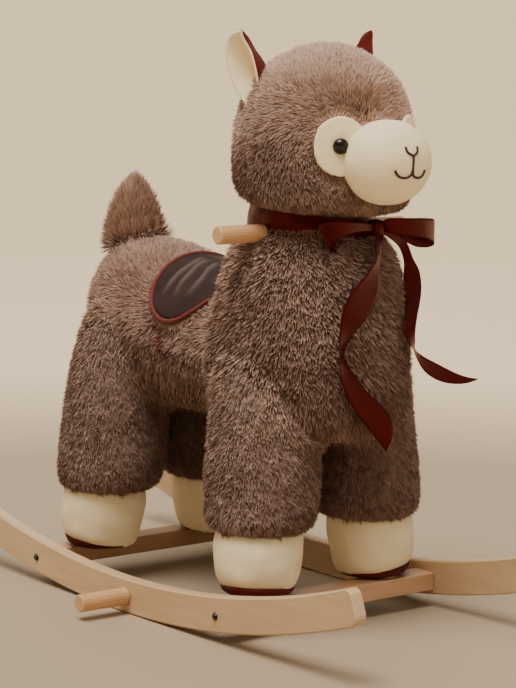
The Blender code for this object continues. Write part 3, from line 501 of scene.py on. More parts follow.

# Plush: a dark backing and the pile that stands on it, for each stuffed piece
# painted light: each piece's pile is made lighter or darker by a set amount, lighter on upward faces and
# darker on sides and undersides
plush = {
    "plush_body": {"flow": (0.45, 0, -0.85), "length": 0.0092, "lean": 0.9, "wild": 1.8, "tone": -0.19,
                   "rise": 0.20, "combed": ((-0.6, 0, -0.6), (-0.75, 0.65, 0))},
    "plush_neck": {"flow": (0.25, 0, -0.9), "length": 0.0092, "lean": 0.7, "wild": 2.2},
    "plush_head": {"flow": (0.55, 0, -0.85), "length": 0.0084, "lean": 0.9, "wild": 1.6, "tone": 0,
                   "combed": ((-0.85, 0.1, -0.1), (-0.75, 0.65, 0))},
    "tail": {"flow": (0, 0, 1.0), "length": 0.0155, "lean": 0.85, "wild": 1.7, "tone": 0.22},
}
plushLegs = {
    "front": {"flow": (0.35, 0, -0.9), "length": 0.0092, "lean": 0.9, "wild": 1.6},
    "rear": {"flow": (0.45, 0, -0.85), "length": 0.0092, "lean": 0.95, "wild": 1.4},
}
plush.update({f"plush_leg_{corner}": plushLegs[corner.split("_")[0]] for corner in corners})
pile = {
    "depth": 0.0045, "thickness": 0.00068, "mostTriangles": 190000, "strandsPerSquareMetre": 900000,
    "voxel": 0.0035, "coverTop": 0.0010, "fadeOver": 0.008, "hidden": 0.0012, "underSash": 0.007,
    "grooveWidth": 0.010, "grooveReach": 0.014, "grooveClear": 0.03, "grooveTaller": 0.45,
    # painted light: the pile is painted lighter in the grooves between stuffed pieces, where shade falls
    "grooveLighter": 0.2,
    # painted light: by default the pile is made this much darker, and lighter on upward faces by rise
    "tone": -0.18, "rise": 1.0,  # where a piece has none of its own
    "bends": (-1.6, 0, 1.2), "shoulder": (0.55, 0.85),  # of a strand
    "turnsFrom": -0.05, "turnsOver": 0.35, "topLean": 0.5, "seamShare": 0.1, "trimShare": 0.35,
    "atCover": 0.4, "shortest": 0.5, "quickShare": 0.4, "rounds": 4,
    "spin": 0.85, "size": (0.72, 1.18), "shade": (0.10, 0.40), "swirl": 120.0,
    "patches": (22.0, 3.0, 0.35), "tufts": (130.0, 2.0, 0.40), "patchShare": 0.8,  # scale, detail and middle
}
# what lies inside the plush or hangs clear of it, so the pile under it stays
notCovering = ("leg_post", "leg_screw", "seat_board", "neck_board", "neck_screw", "cross_nut",
               "ribbon_tail", "ribbon_bow")
# what the pile is trimmed round
keepOff = ("muzzle", "seat_patch", "seat_piping", "ribbon", "handle_bar", "eye_patch", "ear")


def strandShapes(material):
    # three flat strands of unit height, one for each bend
    shelf = bpy.data.collections.new("strandShapes")
    for bend in pile["bends"]:
        bm = bmesh.new()
        along, around = (bm.verts.layers.float.new(name) for name in ("along", "around"))
        low, high = ([bm.verts.new((0, side * width, level)) for side in (-1, 1)]
                     for level, width in ((0, 1), pile["shoulder"]))
        tip = bm.verts.new((0, 0, 1))
        bm.faces.new((low[0], low[1], high[1], high[0]))
        bm.faces.new((high[0], high[1], tip))
        for vert in bm.verts:
            vert[along], vert[around] = vert.co.z, 0.5 + 0.5 * vert.co.y
            vert.co.x += bend * vert.co.z ** 2
        strand = meshPiece(f"strand{len(shelf.objects)}", bm, material)
        scene.collection.objects.unlink(strand)
        shelf.objects.link(strand)
    return shelf


def pileGroup(shelf):
    # scatters strands over a surface that carries its own flow, reach and painted light
    tree, source, result = newGroup("standPile", "GeometryNodeTree", (
        ("Geometry", "Geometry"), ("Density", "Float"), ("Length", "Float"), ("Thickness", "Float"),
        ("Lean", "Float"), ("Wild", "Float"), ("Seed", "Int")), (("Geometry", "Geometry"),))
    given = source.outputs

    def carried(name, kind="FLOAT"):
        return addNode(tree, "GeometryNodeInputNamedAttribute", {"Name": name}, data_type=kind).outputs[0]

    def between(low, high, seed):
        node = addNode(tree, "FunctionNodeRandomValue", {2: low, 3: high, "Seed": seed}, data_type="FLOAT")
        return node.outputs[1]

    def stored(geometry, name, value, kind, domain):
        return addNode(tree, "GeometryNodeStoreNamedAttribute", {
            "Geometry": geometry, "Name": name, "Value": value}, data_type=kind, domain=domain).outputs[0]

    def vectors(operation, first, second):
        wires = {0: first, "Scale" if operation == "SCALE" else 1: second}
        return addNode(tree, "ShaderNodeVectorMath", wires, operation=operation).outputs[0]

    spread = addNode(tree, "GeometryNodeDistributePointsOnFaces", {
        "Mesh": given["Geometry"], "Density": given["Density"], "Seed": given["Seed"]})
    spot = addNode(tree, "GeometryNodeInputPosition").outputs[0]
    swirl = addNode(tree, "ShaderNodeTexNoise", {"Vector": spot, "Scale": pile["swirl"], "Detail": 3.0})
    wild = vectors("SCALE", vectors("SUBTRACT", swirl.outputs["Color"], (0.5, 0.5, 0.5)), given["Wild"])
    leaning = vectors("SCALE", carried("flow", "FLOAT_VECTOR"), given["Lean"])
    heading = vectors("ADD", vectors("ADD", spread.outputs["Normal"], leaning), wild)
    spin = between(-pile["spin"], pile["spin"], 1)
    twist = addNode(tree, "FunctionNodeAxisAngleToRotation", {"Axis": (0, 0, 1), "Angle": spin}).outputs[0]
    stood = addNode(tree, "FunctionNodeAlignRotationToVector", {"Vector": heading}, axis="Z").outputs[0]
    faced = addNode(tree, "FunctionNodeAlignRotationToVector", {
        "Rotation": stood, "Vector": spread.outputs["Normal"]}, axis="X", pivot_axis="Z").outputs[0]
    aimed = addNode(tree, "FunctionNodeRotateRotation", {"Rotation": faced, "Rotate By": twist},
                    rotation_space="LOCAL").outputs[0]
    varied = between(*pile["size"], 2)
    tall = maths(tree, "MULTIPLY", maths(tree, "MULTIPLY", given["Length"], carried("reach")), varied)
    thick = maths(tree, "MULTIPLY", given["Thickness"], varied)
    size = addNode(tree, "ShaderNodeCombineXYZ", {"X": thick, "Y": thick, "Z": tall}).outputs[0]
    kinds = addNode(tree, "GeometryNodeCollectionInfo", {"Collection": shelf, "Separate Children": True})
    pick = addNode(tree, "FunctionNodeRandomValue", {4: 0, 5: 2, "Seed": 3}, data_type="INT").outputs[2]
    strands = addNode(tree, "GeometryNodeInstanceOnPoints", {
        "Points": spread.outputs["Points"], "Instance": kinds.outputs[0], "Pick Instance": True,
        "Instance Index": pick, "Rotation": aimed, "Scale": size}).outputs[0]
    broad, fine = (over(tree, noiseOf(tree, spot, scale, detail), middle, pile["patchShare"])
                   for scale, detail, middle in (pile["patches"], pile["tufts"]))
    # the shade: painted light from the surface, plus random darker and lighter strands, patches and tufts
    own = maths(tree, "ADD", carried("tone"), between(*pile["shade"], 4))
    shade = maths(tree, "ADD", own, maths(tree, "ADD", broad, fine), True)
    marked = stored(strands, "shade", shade, "FLOAT", "INSTANCE")
    real = addNode(tree, "GeometryNodeRealizeInstances", {0: marked}).outputs[0]
    # the strands' own map: their shade across it, with a sliver for their width, and their length up it
    across = stretched(tree, carried("shade"), 0.96, maths(tree, "MULTIPLY", carried("around"), 0.03))
    place = addNode(tree, "ShaderNodeCombineXYZ", {"X": across, "Y": carried("along")}).outputs[0]
    tree.links.new(stored(real, "OFBake", place, "FLOAT2", "CORNER"), result.inputs[0])
    return tree


def napAt(normal, settings):
    # the way the pile lies on a face: down on upright ones, and on a combed piece across the others
    ways = [Vector(way) for way in (settings["flow"], *settings.get("combed", ()))]
    ways = [(way - normal * normal.dot(way)).normalized() for way in ways]
    turn = min(len(ways) - 1.001, max(0.0, (normal.z - pile["turnsFrom"]) / pile["turnsOver"]))
    index = int(turn)
    way = ways[index].lerp(ways[min(index + 1, len(ways) - 1)], turn - index).normalized()
    return way * (1 + pile["topLean"] * max(0.0, normal.z))


def pileSurface(skin, node, settings):
    # the backing, drawn in where it shows, and the part of it that carries pile
    others = [other for other in frame["nodes"] if other != node and not other.startswith(notCovering)]
    kept = shapeOf(*(other for other in frame["nodes"] if other.startswith(keepOff)))
    around, sash = shapeOf(*others), shapeOf("ribbon_collar")
    stuffed = shapeOf(*(other for other in plush if other != node))
    bm = bmesh.new()
    bm.from_mesh(skin.data)
    bm.normal_update()

    def covered(vert, shape, reach):
        return shape.ray_cast(vert.co - vert.normal * 0.0004, vert.normal, reach)[0] is not None

    hidden = {vert for vert in bm.verts
              if covered(vert, around, pile["hidden"]) or covered(vert, sash, pile["underSash"])}
    for vert in bm.verts:
        if vert not in hidden:
            apart, trimmed = (shape.find_nearest(vert.co)[3] / pile["grooveWidth"]
                              for shape in (stuffed, kept))
            share = min(1.0, pile["seamShare"] + apart, pile["trimShare"] + trimmed)
            vert.co -= vert.normal * pile["depth"] * share
    bm.to_mesh(skin.data)
    buried = [face for face in bm.faces if all(vert in hidden for vert in face.verts)]
    bmesh.ops.delete(bm, geom=buried, context="FACES")
    flowLayer = bm.verts.layers.float_vector.new("flow")
    reachLayer, paintedLightLayer = (bm.verts.layers.float.new(label) for label in ("reach", "tone"))
    for vert in bm.verts:
        vert[flowLayer] = napAt(vert.normal, settings)
        clear, apart = (shape.find_nearest(vert.co)[3] for shape in (kept, stuffed))
        groove = max(0.0, 1 - apart / pile["grooveReach"]) * min(1.0, clear / pile["grooveClear"])
        # painted light and shade: lighter on upward faces, darker on sides and undersides, shifted by a set
        # amount for each piece
        tone, rise = (settings.get(key, pile[key]) for key in ("tone", "rise"))
        vert[paintedLightLayer] = tone + max(-0.1, vert.normal.z) * rise + pile["grooveLighter"] * groove
        shorter = max(pile["shortest"], pile["atCover"] + (clear - pile["coverTop"]) / pile["fadeOver"])
        vert[reachLayer] = min(1.0, shorter) * (1 + pile["grooveTaller"] * groove)
    return bm


def growPile():
    shelf = strandShapes(pileBrown)
    group = pileGroup(shelf)
    sockets = {item.name: item.identifier for item in group.interface.items_tree if item.in_out == "INPUT"}
    for count, (node, settings) in enumerate(plush.items()):
        label = titled(node.replace("plush_", ""))
        skin = softCopy(node, backingBrown, pile["voxel"], pile["rounds"], "backing" + label)
        bm = pileSurface(skin, node, settings)
        area = sum(face.calc_area() for face in bm.faces)
        wanted = min(pile["strandsPerSquareMetre"], pile["mostTriangles"] / 3 / area)
        coat = meshPiece("pile" + label, bm, pileBrown)
        stand = coat.modifiers.new("stand", "NODES")
        stand.node_group = group
        for key, value in (("Density", wanted), ("Length", settings["length"]), ("Seed", count),
                           ("Thickness", pile["thickness"]), ("Lean", settings["lean"]),
                           ("Wild", settings["wild"])):
            stand[sockets[key]] = value
        fixShape(coat)
        dress(skin, "plush", node)
        dress(coat, "plush")
        print("pile on", node, round(area, 4), "square metres", len(coat.data.polygons), "faces")
    for strand in list(shelf.objects):
        bpy.data.objects.remove(strand)
    bpy.data.collections.remove(shelf)


growPile()

# Velour feet, felt soles, muzzle and eye patches
velour = {
    "foot": (0.0026, 20), "sole": (0.0020, 2), "patch": (0.0017, 3),  # voxel and rounds
    "lower": 0.0075, "lowerFrom": 0.022, "flatten": 0.25,
}
muzzle = {"middle": (0.257, 0, 0.519), "size": (0.0405, 0.0520, 0.0452), "back": 0.2305, "egg": 0.05}
folds = {"paw": (0.020, 0.0013), "snout": (0.017, 0.0008)}  # how far apart they are and how deep


def lowerOnto(paw, sole):
    # the foot's underside, brought down along the tilt of its sole
    rim, slope = [vert.co for vert in frame["nodes"][sole].data.vertices], []
    for axis in (0, 1):
        first, last = (pick(rim, key=lambda spot: spot[axis]) for pick in (min, max))
        slope.append((last.z - first.z) / (last[axis] - first[axis]))
    levels = [vert.co.z - vert.co.x * slope[0] - vert.co.y * slope[1] for vert in paw.data.vertices]
    under = min(levels)
    for vert, level in zip(paw.data.vertices, levels):
        vert.co.z -= velour["lower"] * (1 - min(1.0, (level - under) / velour["lowerFrom"]))


def crumple(piece, kind):
    # soft dents in stuffed cloth
    size, depth = folds[kind]
    shifts = [vert.normal * noise.noise(vert.co / size) * depth for vert in piece.data.vertices]
    for vert, shift in zip(piece.data.vertices, shifts):
        vert.co += shift


def velourPieces():
    for corner in corners:
        paw = softCopy(f"foot_{corner}", creamVelour, *velour["foot"])
        lowerOnto(paw, f"sole_{corner}")
        crumple(paw, "paw")
        dress(paw, "cream_velour", f"foot_{corner}")
        pad = softCopy(f"sole_{corner}", soleFelt, *velour["sole"])
        under = min(vert.co.z for vert in pad.data.vertices)
        for vert in pad.data.vertices:
            vert.co.z -= (vert.co.z - under) * velour["flatten"]
        dress(pad, "sole_felt", f"sole_{corner}")
    bm = bmesh.new()
    bmesh.ops.create_uvsphere(bm, u_segments=96, v_segments=64, radius=1.0)
    for vert in bm.verts:
        egg = 1 + muzzle["egg"] * abs(vert.co.y) * (1 - vert.co.x)
        vert.co = Vector(muzzle["middle"]) + Vector(
            (size * along for size, along in zip(muzzle["size"], (vert.co.x, vert.co.y, vert.co.z * egg))))
    bmesh.ops.delete(bm, geom=[vert for vert in bm.verts if vert.co.x < muzzle["back"]], context="VERTS")
    rim = [edge for edge in bm.edges if edge.is_boundary]
    bmesh.ops.contextual_create(bm, geom=rim)
    snout = meshPiece("muzzleBall", bm, creamVelour)
    crumple(snout, "snout")
    dress(snout, "cream_velour", "muzzle")
    for side in sides:
        patch = softCopy(f"eye_patch_{side}", creamVelour, *velour["patch"])
        dress(patch, "cream_velour", f"eye_patch_{side}")


velourPieces()
print("velour pieces ready")

# Seat patch, the piping round it and the seam under it, in metres
seat = {
    "forward": -0.008, "length": 0.152, "span": 0.286, "waist": 0.16,
    "barrelRadius": 0.106, "barrelZ": 0.3076,
    "pad": 0.0036, "crown": 0.0022, "thickness": 0.005, "pipingRadius": 0.0025, "pipingLift": 0.0032,
    "seam": (157, 333, 4.1, 5),  # places across and down in the photograph, the step down, and the stitches
    "stitchLift": 0.0125, "stitchLength": 0.0052, "stitchRadius": 0.0015,
    "rings": 36, "spokes": 200, "pipingSteps": 240, "pipingRounds": 6, "pipingShare": 1.02,
    "creaseEdge": (0.94, 0.2), "creaseMiddle": 0.02, "creaseEnds": (4, 0.3, 3, 0.15),
    "creaseHeight": 0.0022, "creaseWidth": 1.9,  # width and places of the creases in the photograph's pixels
    "creases": (
        ((206, 261.5), (200, 264.3), (191.4, 270), (182.9, 275.7), (175.7, 282.9), (168.6, 291.4),
         (164.3, 298.6)),
        ((211, 264), (204.3, 267.1), (198.6, 270.7), (191.4, 278.6), (184.3, 285.7), (177.1, 297.9)),
        ((222, 266), (215.7, 270), (210, 274.3), (204.3, 282.9), (198.6, 288.6), (190, 298))),
}


def saddleSpot(shape, share, angle):
    # a place on the barrel, from its share of the way to the patch's edge and the angle round it
    waist = 1 - seat["waist"] * math.cos(angle) ** 2
    along = seat["forward"] + share * seat["length"] / 2 * math.cos(angle) * waist
    arc = share * seat["span"] / 2 * math.sin(angle)
    out = Vector((0, math.sin(arc / seat["barrelRadius"]), math.cos(arc / seat["barrelRadius"])))
    axis = Vector((along, 0, seat["barrelZ"]))
    return shape.ray_cast(axis + out * 0.3, -out)[0] or axis + out * seat["barrelRadius"] * 0.9, out, arc


def creaseAt(point):
    # how near a point on either side of the seat is to a crease
    spot = shown((point.x, -abs(point.y), point.z))
    nearness, (rise, first, fall, last) = 0.0, seat["creaseEnds"]
    for line in seat["creases"]:
        for index, (start, finish) in enumerate(zip(line, line[1:])):
            step = Vector(finish) - Vector(start)
            share = min(1.0, max(0.0, (spot - Vector(start)).dot(step) / step.length_squared))
            gap = (spot - Vector(start) - step * share).length / seat["creaseWidth"]
            ending = (index + share) / (len(line) - 1)
            fade = min(1.0, fall * (1 - ending) + last, rise * ending + first)
            nearness = max(nearness, math.exp(-gap * gap) * fade)
    return nearness


def tube(name, points, radius, material, closed=False):
    thread = bpy.data.curves.new(name, "CURVE")
    thread.dimensions = "3D"
    thread.bevel_depth, thread.bevel_resolution, thread.use_fill_caps = radius, 3, not closed
    line = thread.splines.new("POLY")
    line.points.add(len(points) - 1)
    line.use_cyclic_u = closed
    for point, spot in zip(line.points, points):
        point.co = (*spot, 1)
    drawn = newObject(name, thread)
    mesh = settledMesh(drawn)
    bpy.data.objects.remove(drawn)
    mesh.materials.clear()
    mesh.materials.append(material)
    return newObject(name, mesh)


def seatPieces():
    barrel = shapeOf("plush_body")
    bm = bmesh.new()
    lit = bm.verts.layers.float.new("crease")
    spoke = [bm.verts.new((step / seat["rings"], 0, 0)) for step in range(seat["rings"] + 1)]
    spoke += [bm.edges.new(pair) for pair in zip(spoke, spoke[1:])]
    bmesh.ops.spin(bm, geom=spoke, cent=(0, 0, 0), axis=(0, 0, 1), angle=2 * math.pi,
                   steps=seat["spokes"], use_merge=True)
    bmesh.ops.remove_doubles(bm, verts=bm.verts, dist=0.0001)
    edge, width = seat["creaseEdge"]
    for vert in bm.verts:
        share = math.hypot(vert.co.x, vert.co.y)
        spot, out, arc = saddleSpot(barrel, share, math.atan2(vert.co.y, vert.co.x))
        fade = min(1.0, max(0.0, (edge - share) / width)) * min(1.0, abs(arc) / seat["creaseMiddle"])
        # nearness to a crease: it raises the cloth there and paints a highlight along it
        vert[lit] = creaseAt(spot) * fade
        lift = seat["pad"] + seat["crown"] * (1 - share ** 4) + seat["creaseHeight"] * vert[lit]
        vert.co = spot + out * lift
    bmesh.ops.smooth_vert(bm, verts=bm.verts, factor=0.5, use_axis_x=True, use_axis_y=True, use_axis_z=True)
    bmesh.ops.recalc_face_normals(bm, faces=bm.faces)
    bm.normal_update()
    if sum(face.normal.z for face in bm.faces) < 0:
        bmesh.ops.reverse_faces(bm, faces=bm.faces)
    pad = meshPiece("seatPatch", bm, seatVelour)
    thicken(pad, seat["thickness"], -1.0)
    fixShape(pad)
    dress(pad, "seat_velour", "seat_patch")
    points, turns = [], seat["pipingSteps"]
    for turn in range(turns):
        spot, out = saddleSpot(barrel, seat["pipingShare"], 2 * math.pi * turn / turns)[:2]
        points.append(spot + out * seat["pipingLift"])
    for _ in range(seat["pipingRounds"]):
        points = [(points[i - 1] + points[i] * 2 + points[(i + 1) % turns]) / 4 for i in range(turns)]
    trim = tube("seatPiping", points, seat["pipingRadius"], pipingCloth, closed=True)
    dress(trim, "piping_cloth", "seat_piping")
    across, down, step, count = seat["seam"]
    start, stuffed = Vector(view["place"]), shapeOf(*plush)
    for i in range(count):
        aim = (seen(across, down + step * i, 0) - start).normalized()
        hit, normal = stuffed.ray_cast(start, aim)[:2]
        side = Vector((1, 0, 0)) - normal * normal.x
        route = [hit - aim * seat["stitchLift"] + side.normalized() * seat["stitchLength"] * reach
                 for reach in (-0.5, 0, 0.5)]
        stitch = tube(f"stitch_seam{i}", route, seat["stitchRadius"], redThread)
        dress(stitch, "piping_cloth")


seatPieces()
print("seat ready")

# Ears: a folded leaf each, cream inside and burgundy velvet outside. Each row has the rear rim, the fold
# and the front rim, in millimetres
ears = {
    "thickness": 0.0042, "inside": (0.12, 0.065, 0.62), "curl": 1.7, "flatShare": 0.35, "hollow": 0.10,
    "along": 44, "across": 28,
    "rows": (
        ((118, 95.4, 655), (120.5, 94.2, 655.3), (121, 94, 655)),
        ((107.5, 95.8, 651.5), (119.8, 87.5, 651.5), (122.2, 93.2, 650.5)),
        ((100.4, 95.6, 645), (119.2, 79.6, 645), (124, 91.6, 645)),
        ((97.4, 96.2, 634), (118.4, 70.2, 634), (129.7, 87.9, 634)),
        ((98.2, 96.4, 625), (119.8, 62, 625), (132.4, 86, 625)),
        ((100.4, 96.2, 617), (122.6, 57, 616), (134.6, 84.4, 615)),
        ((103, 95.2, 608), (126, 57, 606), (136, 82.8, 605)),
        ((107.4, 93.4, 597), (130, 64, 597), (136, 81.2, 597)),
        ((113.6, 91.2, 588), (130.5, 71, 588), (133.4, 80.6, 589)),
        ((120.4, 88.6, 579), (127, 79, 579.5), (128.4, 83.6, 581)),
        ((126, 87, 572.5), (126.4, 85, 573), (126.6, 86, 573.5))),
}


def earPieces():
    for side, outward in (("right", -1), ("left", 1)):
        flat = [[value for point in row for value in point] for row in ears["rows"]]
        bm = bmesh.new()
        bmesh.ops.create_grid(bm, x_segments=ears["along"], y_segments=ears["across"], size=0.5)
        for vert in bm.verts:
            row = pathPoint(flat, 0.5 - vert.co.x)
            rear, fold, fore = (Vector(row[i:i + 3]) for i in (0, 3, 6))
            turn = vert.co.y * 2
            bend, flatShare = abs(turn) ** ears["curl"], ears["flatShare"]
            spot = fold.lerp(fore if turn > 0 else rear, abs(turn) * flatShare + bend * (1 - flatShare))
            spot += (rear.lerp(fore, 0.5 + turn / 2) - spot) * ears["hollow"] * (1 - bend)
            vert.co = Vector((spot.x, spot.y * outward, spot.z)) / 1000
        bmesh.ops.recalc_face_normals(bm, faces=bm.faces)
        bm.normal_update()
        x, y, z = ears["inside"]
        inside = Vector((x, y * outward, z))
        middle = min(bm.faces, key=lambda face: (face.calc_center_median() - inside).length)
        if middle.normal.y * outward < 0:
            bmesh.ops.reverse_faces(bm, faces=bm.faces)
        ear = meshPiece("ear" + titled(side), bm, creamVelour)
        ear.data.materials.append(earVelvet)
        thicken(ear, ears["thickness"], backSlot=1)
        refine(ear)
        fixShape(ear)
        dress(ear, "ear_velvet", f"ear_{side}")


earPieces()
print("ears ready")

# Ribbon: strips cut from one roll
ribbon = {
    "thickness": 0.0005, "width": 0.023, "tailWidth": 0.020, "collarThickness": 0.0007,
    "tailSteps": 140, "loopSteps": 110, "collarSteps": 160, "across": 8,
}


def strip(name, steps, placeOf, thickness=ribbon["thickness"], join=0.0):
    # a band of ribbon, its points placed by their shares along and across it, and its area
    bm = bmesh.new()
    bm.loops.layers.uv.new("ribbonMap")
    bmesh.ops.create_grid(bm, x_segments=steps, y_segments=ribbon["across"], size=0.5, calc_uvs=True)
    for vert in bm.verts:
        vert.co = placeOf(vert.co.x + 0.5, vert.co.y)
    area = sum(face.calc_area() for face in bm.faces)
    piece = meshPiece(name, bm, satinRibbon)
    if join:
        piece.modifiers.new("merged", "WELD").merge_threshold = join
    thicken(piece, thickness)
    fixShape(piece)
    return piece, area


def routed(rows):
    # rows: one edge's place in the photograph, the other edge's place, and how far forward each of them is
    def placeOf(along, up):
        row = pathPoint(rows, along)
        return seen(row[0], row[1], row[4]).lerp(seen(row[2], row[3], row[5]), up + 0.5)
    return placeOf


ribbonTails = {
    "right": (
        (375, 229, 383, 229, 221, 221), (375, 238, 383, 238, 230, 226), (375, 250, 381.4, 250, 238, 229),
        (376.5, 260, 380.6, 260, 244, 234), (370, 270, 380, 272, 247, 239),
        (361, 281, 379.8, 286, 250, 243), (352, 292, 378, 297, 251, 246), (346, 304, 373, 308, 250, 246),
        (342, 315, 366, 319, 248, 246), (340, 328, 358, 329, 246, 244), (339.3, 341, 350, 340, 248, 240),
        (339.5, 355, 344.3, 354, 250, 238), (340, 370, 349, 367, 248, 241), (342, 384, 358, 380, 247, 245),
        (347, 398, 369, 393, 247, 248), (356, 413, 382, 406, 249, 251), (366, 426.5, 390.5, 418, 250, 254),
        (376, 439, 393, 430, 252, 256), (386, 452, 391.5, 441, 254, 257)),
    "left": (
        (380, 232, 384, 228, 219, 219), (393, 241, 397, 234, 216, 216), (400, 249, 407, 243, 211, 213),
        (403.8, 262, 413, 258, 208, 213), (403.5, 277, 419, 270, 209, 214),
        (403.5, 290, 421.3, 284, 214, 218), (405.5, 303, 420.5, 299, 222, 226),
        (404.8, 317, 417.5, 315, 233, 236), (404, 332, 415.5, 329, 240, 241),
        (408.5, 342.5, 415, 341, 245, 239), (413, 348.6, 415.6, 349.8, 246, 236),
        (417.5, 360, 423.5, 356.5, 241, 236), (424, 370.7, 434, 362, 238, 236),
        (434, 378.5, 446, 368.3, 237, 237), (446, 382.9, 458, 374, 237, 239),
        (459, 384, 468.5, 377.3, 238, 240), (470, 382.4, 474, 378.2, 239, 240),
        (477.4, 379.4, 478, 378.6, 240, 240)),
}
bowLoops = {
    "right": (
        (374, 224, 373, 231, 224, 224), (362, 222.8, 360, 232, 232, 231),
        (348, 221.9, 349, 234.5, 236, 235), (334, 222.2, 341, 239, 235, 234),
        (323, 223.5, 333, 245, 229, 229), (318, 227, 329, 250, 221, 221), (322, 231, 333, 252.3, 213, 213),
        (334, 233, 345, 251.8, 209, 209), (348, 231, 357, 243, 209, 209), (362, 228, 368, 236.5, 212, 212),
        (373, 226, 375, 232.5, 216, 216)),
    "left": (
        (381, 223, 382, 230, 222, 222), (387, 218.6, 390, 233, 229, 229), (398, 218, 402, 235.3, 234, 234),
        (411, 218, 414, 236.5, 236, 236), (424, 218, 426, 238, 234, 234),
        (433, 218.7, 433, 241.5, 227, 227), (434.5, 222, 433.7, 245, 219, 219),
        (430, 224, 427, 247.4, 212, 212), (420, 225, 416, 246.7, 209, 209),
        (408, 225, 405, 241.4, 209, 209), (396, 225, 396, 236, 212, 212), (384, 226, 385, 231.5, 216, 216)),
}
bow = {
    "knot": (0.219, 0.0185, 0.4456), "knotSize": 0.0165, "fullness": 0.62, "roundness": 0.72,
    "pinch": (0.80, 0.5), "ripple": (0.03, 30),
}


def flatSize(area, width):
    return width, round(area / width, 3)


def ribbonPieces():
    for side, rows in ribbonTails.items():
        piece, area = strip("ribbonTail" + titled(side), ribbon["tailSteps"], routed(rows))
        dress(piece, "satin", f"ribbon_tail_{side}")
        flatSize(area, ribbon["tailWidth"])
    for side, rows in bowLoops.items():
        piece, area = strip("bowLoop" + titled(side), ribbon["loopSteps"], routed(rows))
        dress(piece, "satin")
        flatSize(area, ribbon["width"])
    knot, (waist, wider), (depth, often) = Vector(bow["knot"]), bow["pinch"], bow["ripple"]
    bm = bmesh.new()
    bmesh.ops.create_cube(bm, size=1.0)
    bmesh.ops.subdivide_edges(bm, edges=bm.edges[:], cuts=5, use_grid_fill=True)
    for vert in bm.verts:
        vert.co = vert.co.lerp(vert.co.normalized() * bow["fullness"], bow["roundness"])
        vert.co.y *= waist + wider * abs(vert.co.z)
        vert.co += vert.co.normalized() * depth * math.sin(vert.co.y * often)
        vert.co = knot + vert.co * bow["knotSize"]
    bmesh.ops.recalc_face_normals(bm, faces=bm.faces)
    tied = meshPiece("bowKnot", bm, satinRibbon)
    layer = tied.data.uv_layers.new(name="ribbonMap")
    for loop in tied.data.loops:
        place = tied.data.vertices[loop.vertex_index].co - knot
        layer.data[loop.index].uv = (place.y / 0.02, place.z / 0.02)
    refine(tied)
    fixShape(tied)
    dress(tied, "satin", "ribbon_bow")


collar = {
    "radius": 0.0703, "width": 0.0280, "tilt": 5.0, "middle": (0.134, 0.0, 0.4526),
    "crumple": 0.0016, "taper": 0.004, "join": 0.0002,
}


def collarPlace(along, up):
    turn = along * 2 * math.pi
    ripple = noise.noise(Vector((math.cos(turn) * 3, math.sin(turn) * 3, up * 1.5))) * collar["crumple"]
    reach = collar["radius"] + ripple - up * collar["taper"]
    spot = Vector((reach * math.cos(turn), reach * math.sin(turn), up * collar["width"]))
    return Euler((0, math.radians(collar["tilt"]), 0)).to_matrix() @ spot + Vector(collar["middle"])


def collarPiece():
    piece, area = strip("ribbonCollar", ribbon["collarSteps"], collarPlace, ribbon["collarThickness"],
                        collar["join"])
    dress(piece, "satin", "ribbon_collar")
    flatSize(area, collar["width"])


ribbonPieces()
collarPiece()
print("ribbon ready")

# Eyes: glossy domes
for side in sides:
    dress(softCopy(f"eye_{side}", eyeGloss, voxel=0.0007, rounds=3), "eye_plastic", f"eye_{side}")

# Embroidered nose and mouth on the muzzle: degrees sideways and up from its front
stitches = {
    "thickness": 0.0014, "lift": 0.0004, "steps": 24,
    "routes": {
        "noseLeft": ((-13, 26), (-10, 18), (-1, 12.5)),
        "noseRight": ((12, 26), (9, 18), (-1, 12.5)),
        "middle": ((-1, 12.5), (-0.5, 3), (0, -8)),
        "mouthLeft": ((0, -8), (-3, -17), (-15, -20.5), (-24, -17), (-28, -9)),
        "mouthRight": ((0, -8), (4, -16.5), (13, -19.5), (24, -17), (31, -8)),
    },
}


def stitchedFace():
    centre, skin, steps = Vector(muzzle["middle"]), shapeOf("muzzleBall"), stitches["steps"]
    for name, rows in stitches["routes"].items():
        points = []
        for i in range(steps):
            aside, up = (math.radians(value) for value in pathPoint(rows, i / (steps - 1)))
            aim = Vector((math.cos(aside) * math.cos(up), -math.sin(aside) * math.cos(up), math.sin(up)))
            points.append(skin.ray_cast(centre + aim * 0.2, -aim)[0] + aim * stitches["lift"])
        piece = tube("stitch_" + name, points, stitches["thickness"], brownThread)
        dress(piece, "eye_plastic")


stitchedFace()
print("face ready")

# CAD nodes whose shape is right get their finish
finishes = {
    plywood: ("rocker", "seat_board", "neck_board"),
    crossbarWood: ("front_crossbar", "rear_crossbar"),
    dowelWood: ("handle_bar", "foot_peg", "leg_post"),
    blackSteel: ("crossbar_bolt",),
    zincSteel: ("peg_screw", "neck_screw", "leg_screw", "cross_nut"),
}
for material, kinds in finishes.items():
    for node, piece in frame["nodes"].items():
        if node.startswith(kinds):
            for slot in piece.material_slots:
                slot.material = material

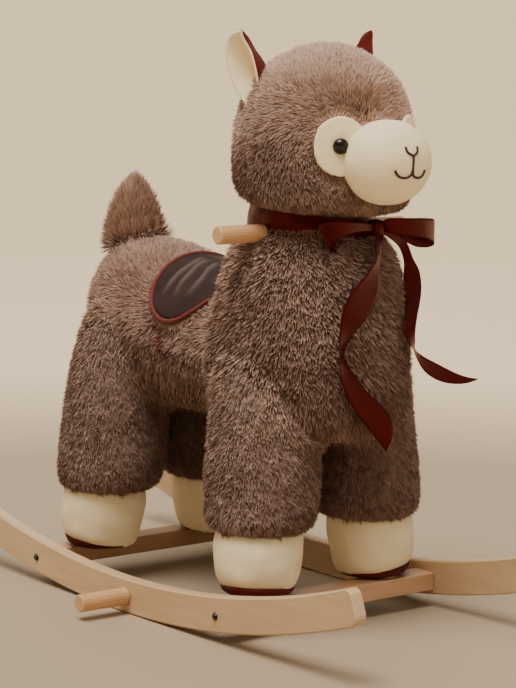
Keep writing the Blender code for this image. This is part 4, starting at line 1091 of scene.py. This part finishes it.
# Floor and light
studio = {
    # the floor is lighter away from the toy: partly the backdrop's own paler colour, partly painted light
    # where the lamps reach the far floor less
    "floorNear": (0.37, 0.282, 0.190), "floorFar": (0.77, 0.615, 0.410), "nearTo": 0.9, "farFrom": 1.7,
    "floorRadius": 30.0, "rimSpread": 30, "rimHeight": 60,
    "sky": {"place": (0.5, -1.3, 4.4), "power": 3.9, "softness": 34, "colour": (1, 0.96, 0.90)},
    "fill": {"place": (3.0, 0.8, 1.8), "size": 2.5, "power": 9, "colour": (1, 0.96, 0.92)},
    "back": {"place": (-2.0, 1.2, 2.6), "size": 2.0, "power": 15, "colour": (1, 0.96, 0.92)},
    "air": {"colour": (0.86, 0.73, 0.57), "horizon": 0.22, "overhead": 0.74},
}


def lightStudio():
    bm = bmesh.new()
    bmesh.ops.create_circle(bm, cap_ends=True, segments=96, radius=studio["floorRadius"])
    outer = [edge for edge in bm.edges if edge.is_boundary]
    for vert in bmesh.ops.extrude_edge_only(bm, edges=outer)["geom"]:
        if isinstance(vert, bmesh.types.BMVert):
            spread = studio["rimSpread"]
            vert.co = Vector((vert.co.x * spread, vert.co.y * spread, studio["rimHeight"]))
    material, tree, shader = newMaterial("paleFloor", 0.75)
    distance = addNode(tree, "ShaderNodeVectorMath", {0: placed(tree)}, operation="LENGTH").outputs["Value"]
    # painted light: lighter with distance from the toy
    share = maths(tree, "DIVIDE", maths(tree, "SUBTRACT", distance, studio["nearTo"]),
                  studio["farFrom"] - studio["nearTo"], True)
    feed(tree, shader, Base_Color=mixColours(tree, share, studio["floorNear"], studio["floorFar"]))
    floor = meshPiece("paleFloor", bm, material)
    for name in ("sky", "fill", "back"):
        kind = studio[name]
        lamp = bpy.data.lights.new(name, "SUN" if name == "sky" else "AREA")
        lamp.energy, lamp.color = kind["power"], kind["colour"]
        if name == "sky":
            lamp.angle = math.radians(kind["softness"])
        else:
            lamp.size = kind["size"]
        holder = newObject(name, lamp)
        holder.location = kind["place"]
        aim = Vector((0, 0, 0.3)) - Vector(kind["place"])
        holder.rotation_euler = aim.to_track_quat("-Z", "Y").to_euler()
    world = scene.world or bpy.data.worlds.new("air")
    scene.world = world
    world.use_nodes = True
    tree, air = world.node_tree, studio["air"]
    heading = addNode(tree, "ShaderNodeTexCoord").outputs["Generated"]
    height = addNode(tree, "ShaderNodeSeparateXYZ", {"Vector": heading}).outputs["Z"]
    strength = stretched(tree, maths(tree, "MAXIMUM", height, 0.0), air["overhead"] - air["horizon"],
                         air["horizon"])
    feed(tree, tree.nodes["Background"], Strength=strength, Color=(*air["colour"], 1))


lightStudio()
print("studio ready")
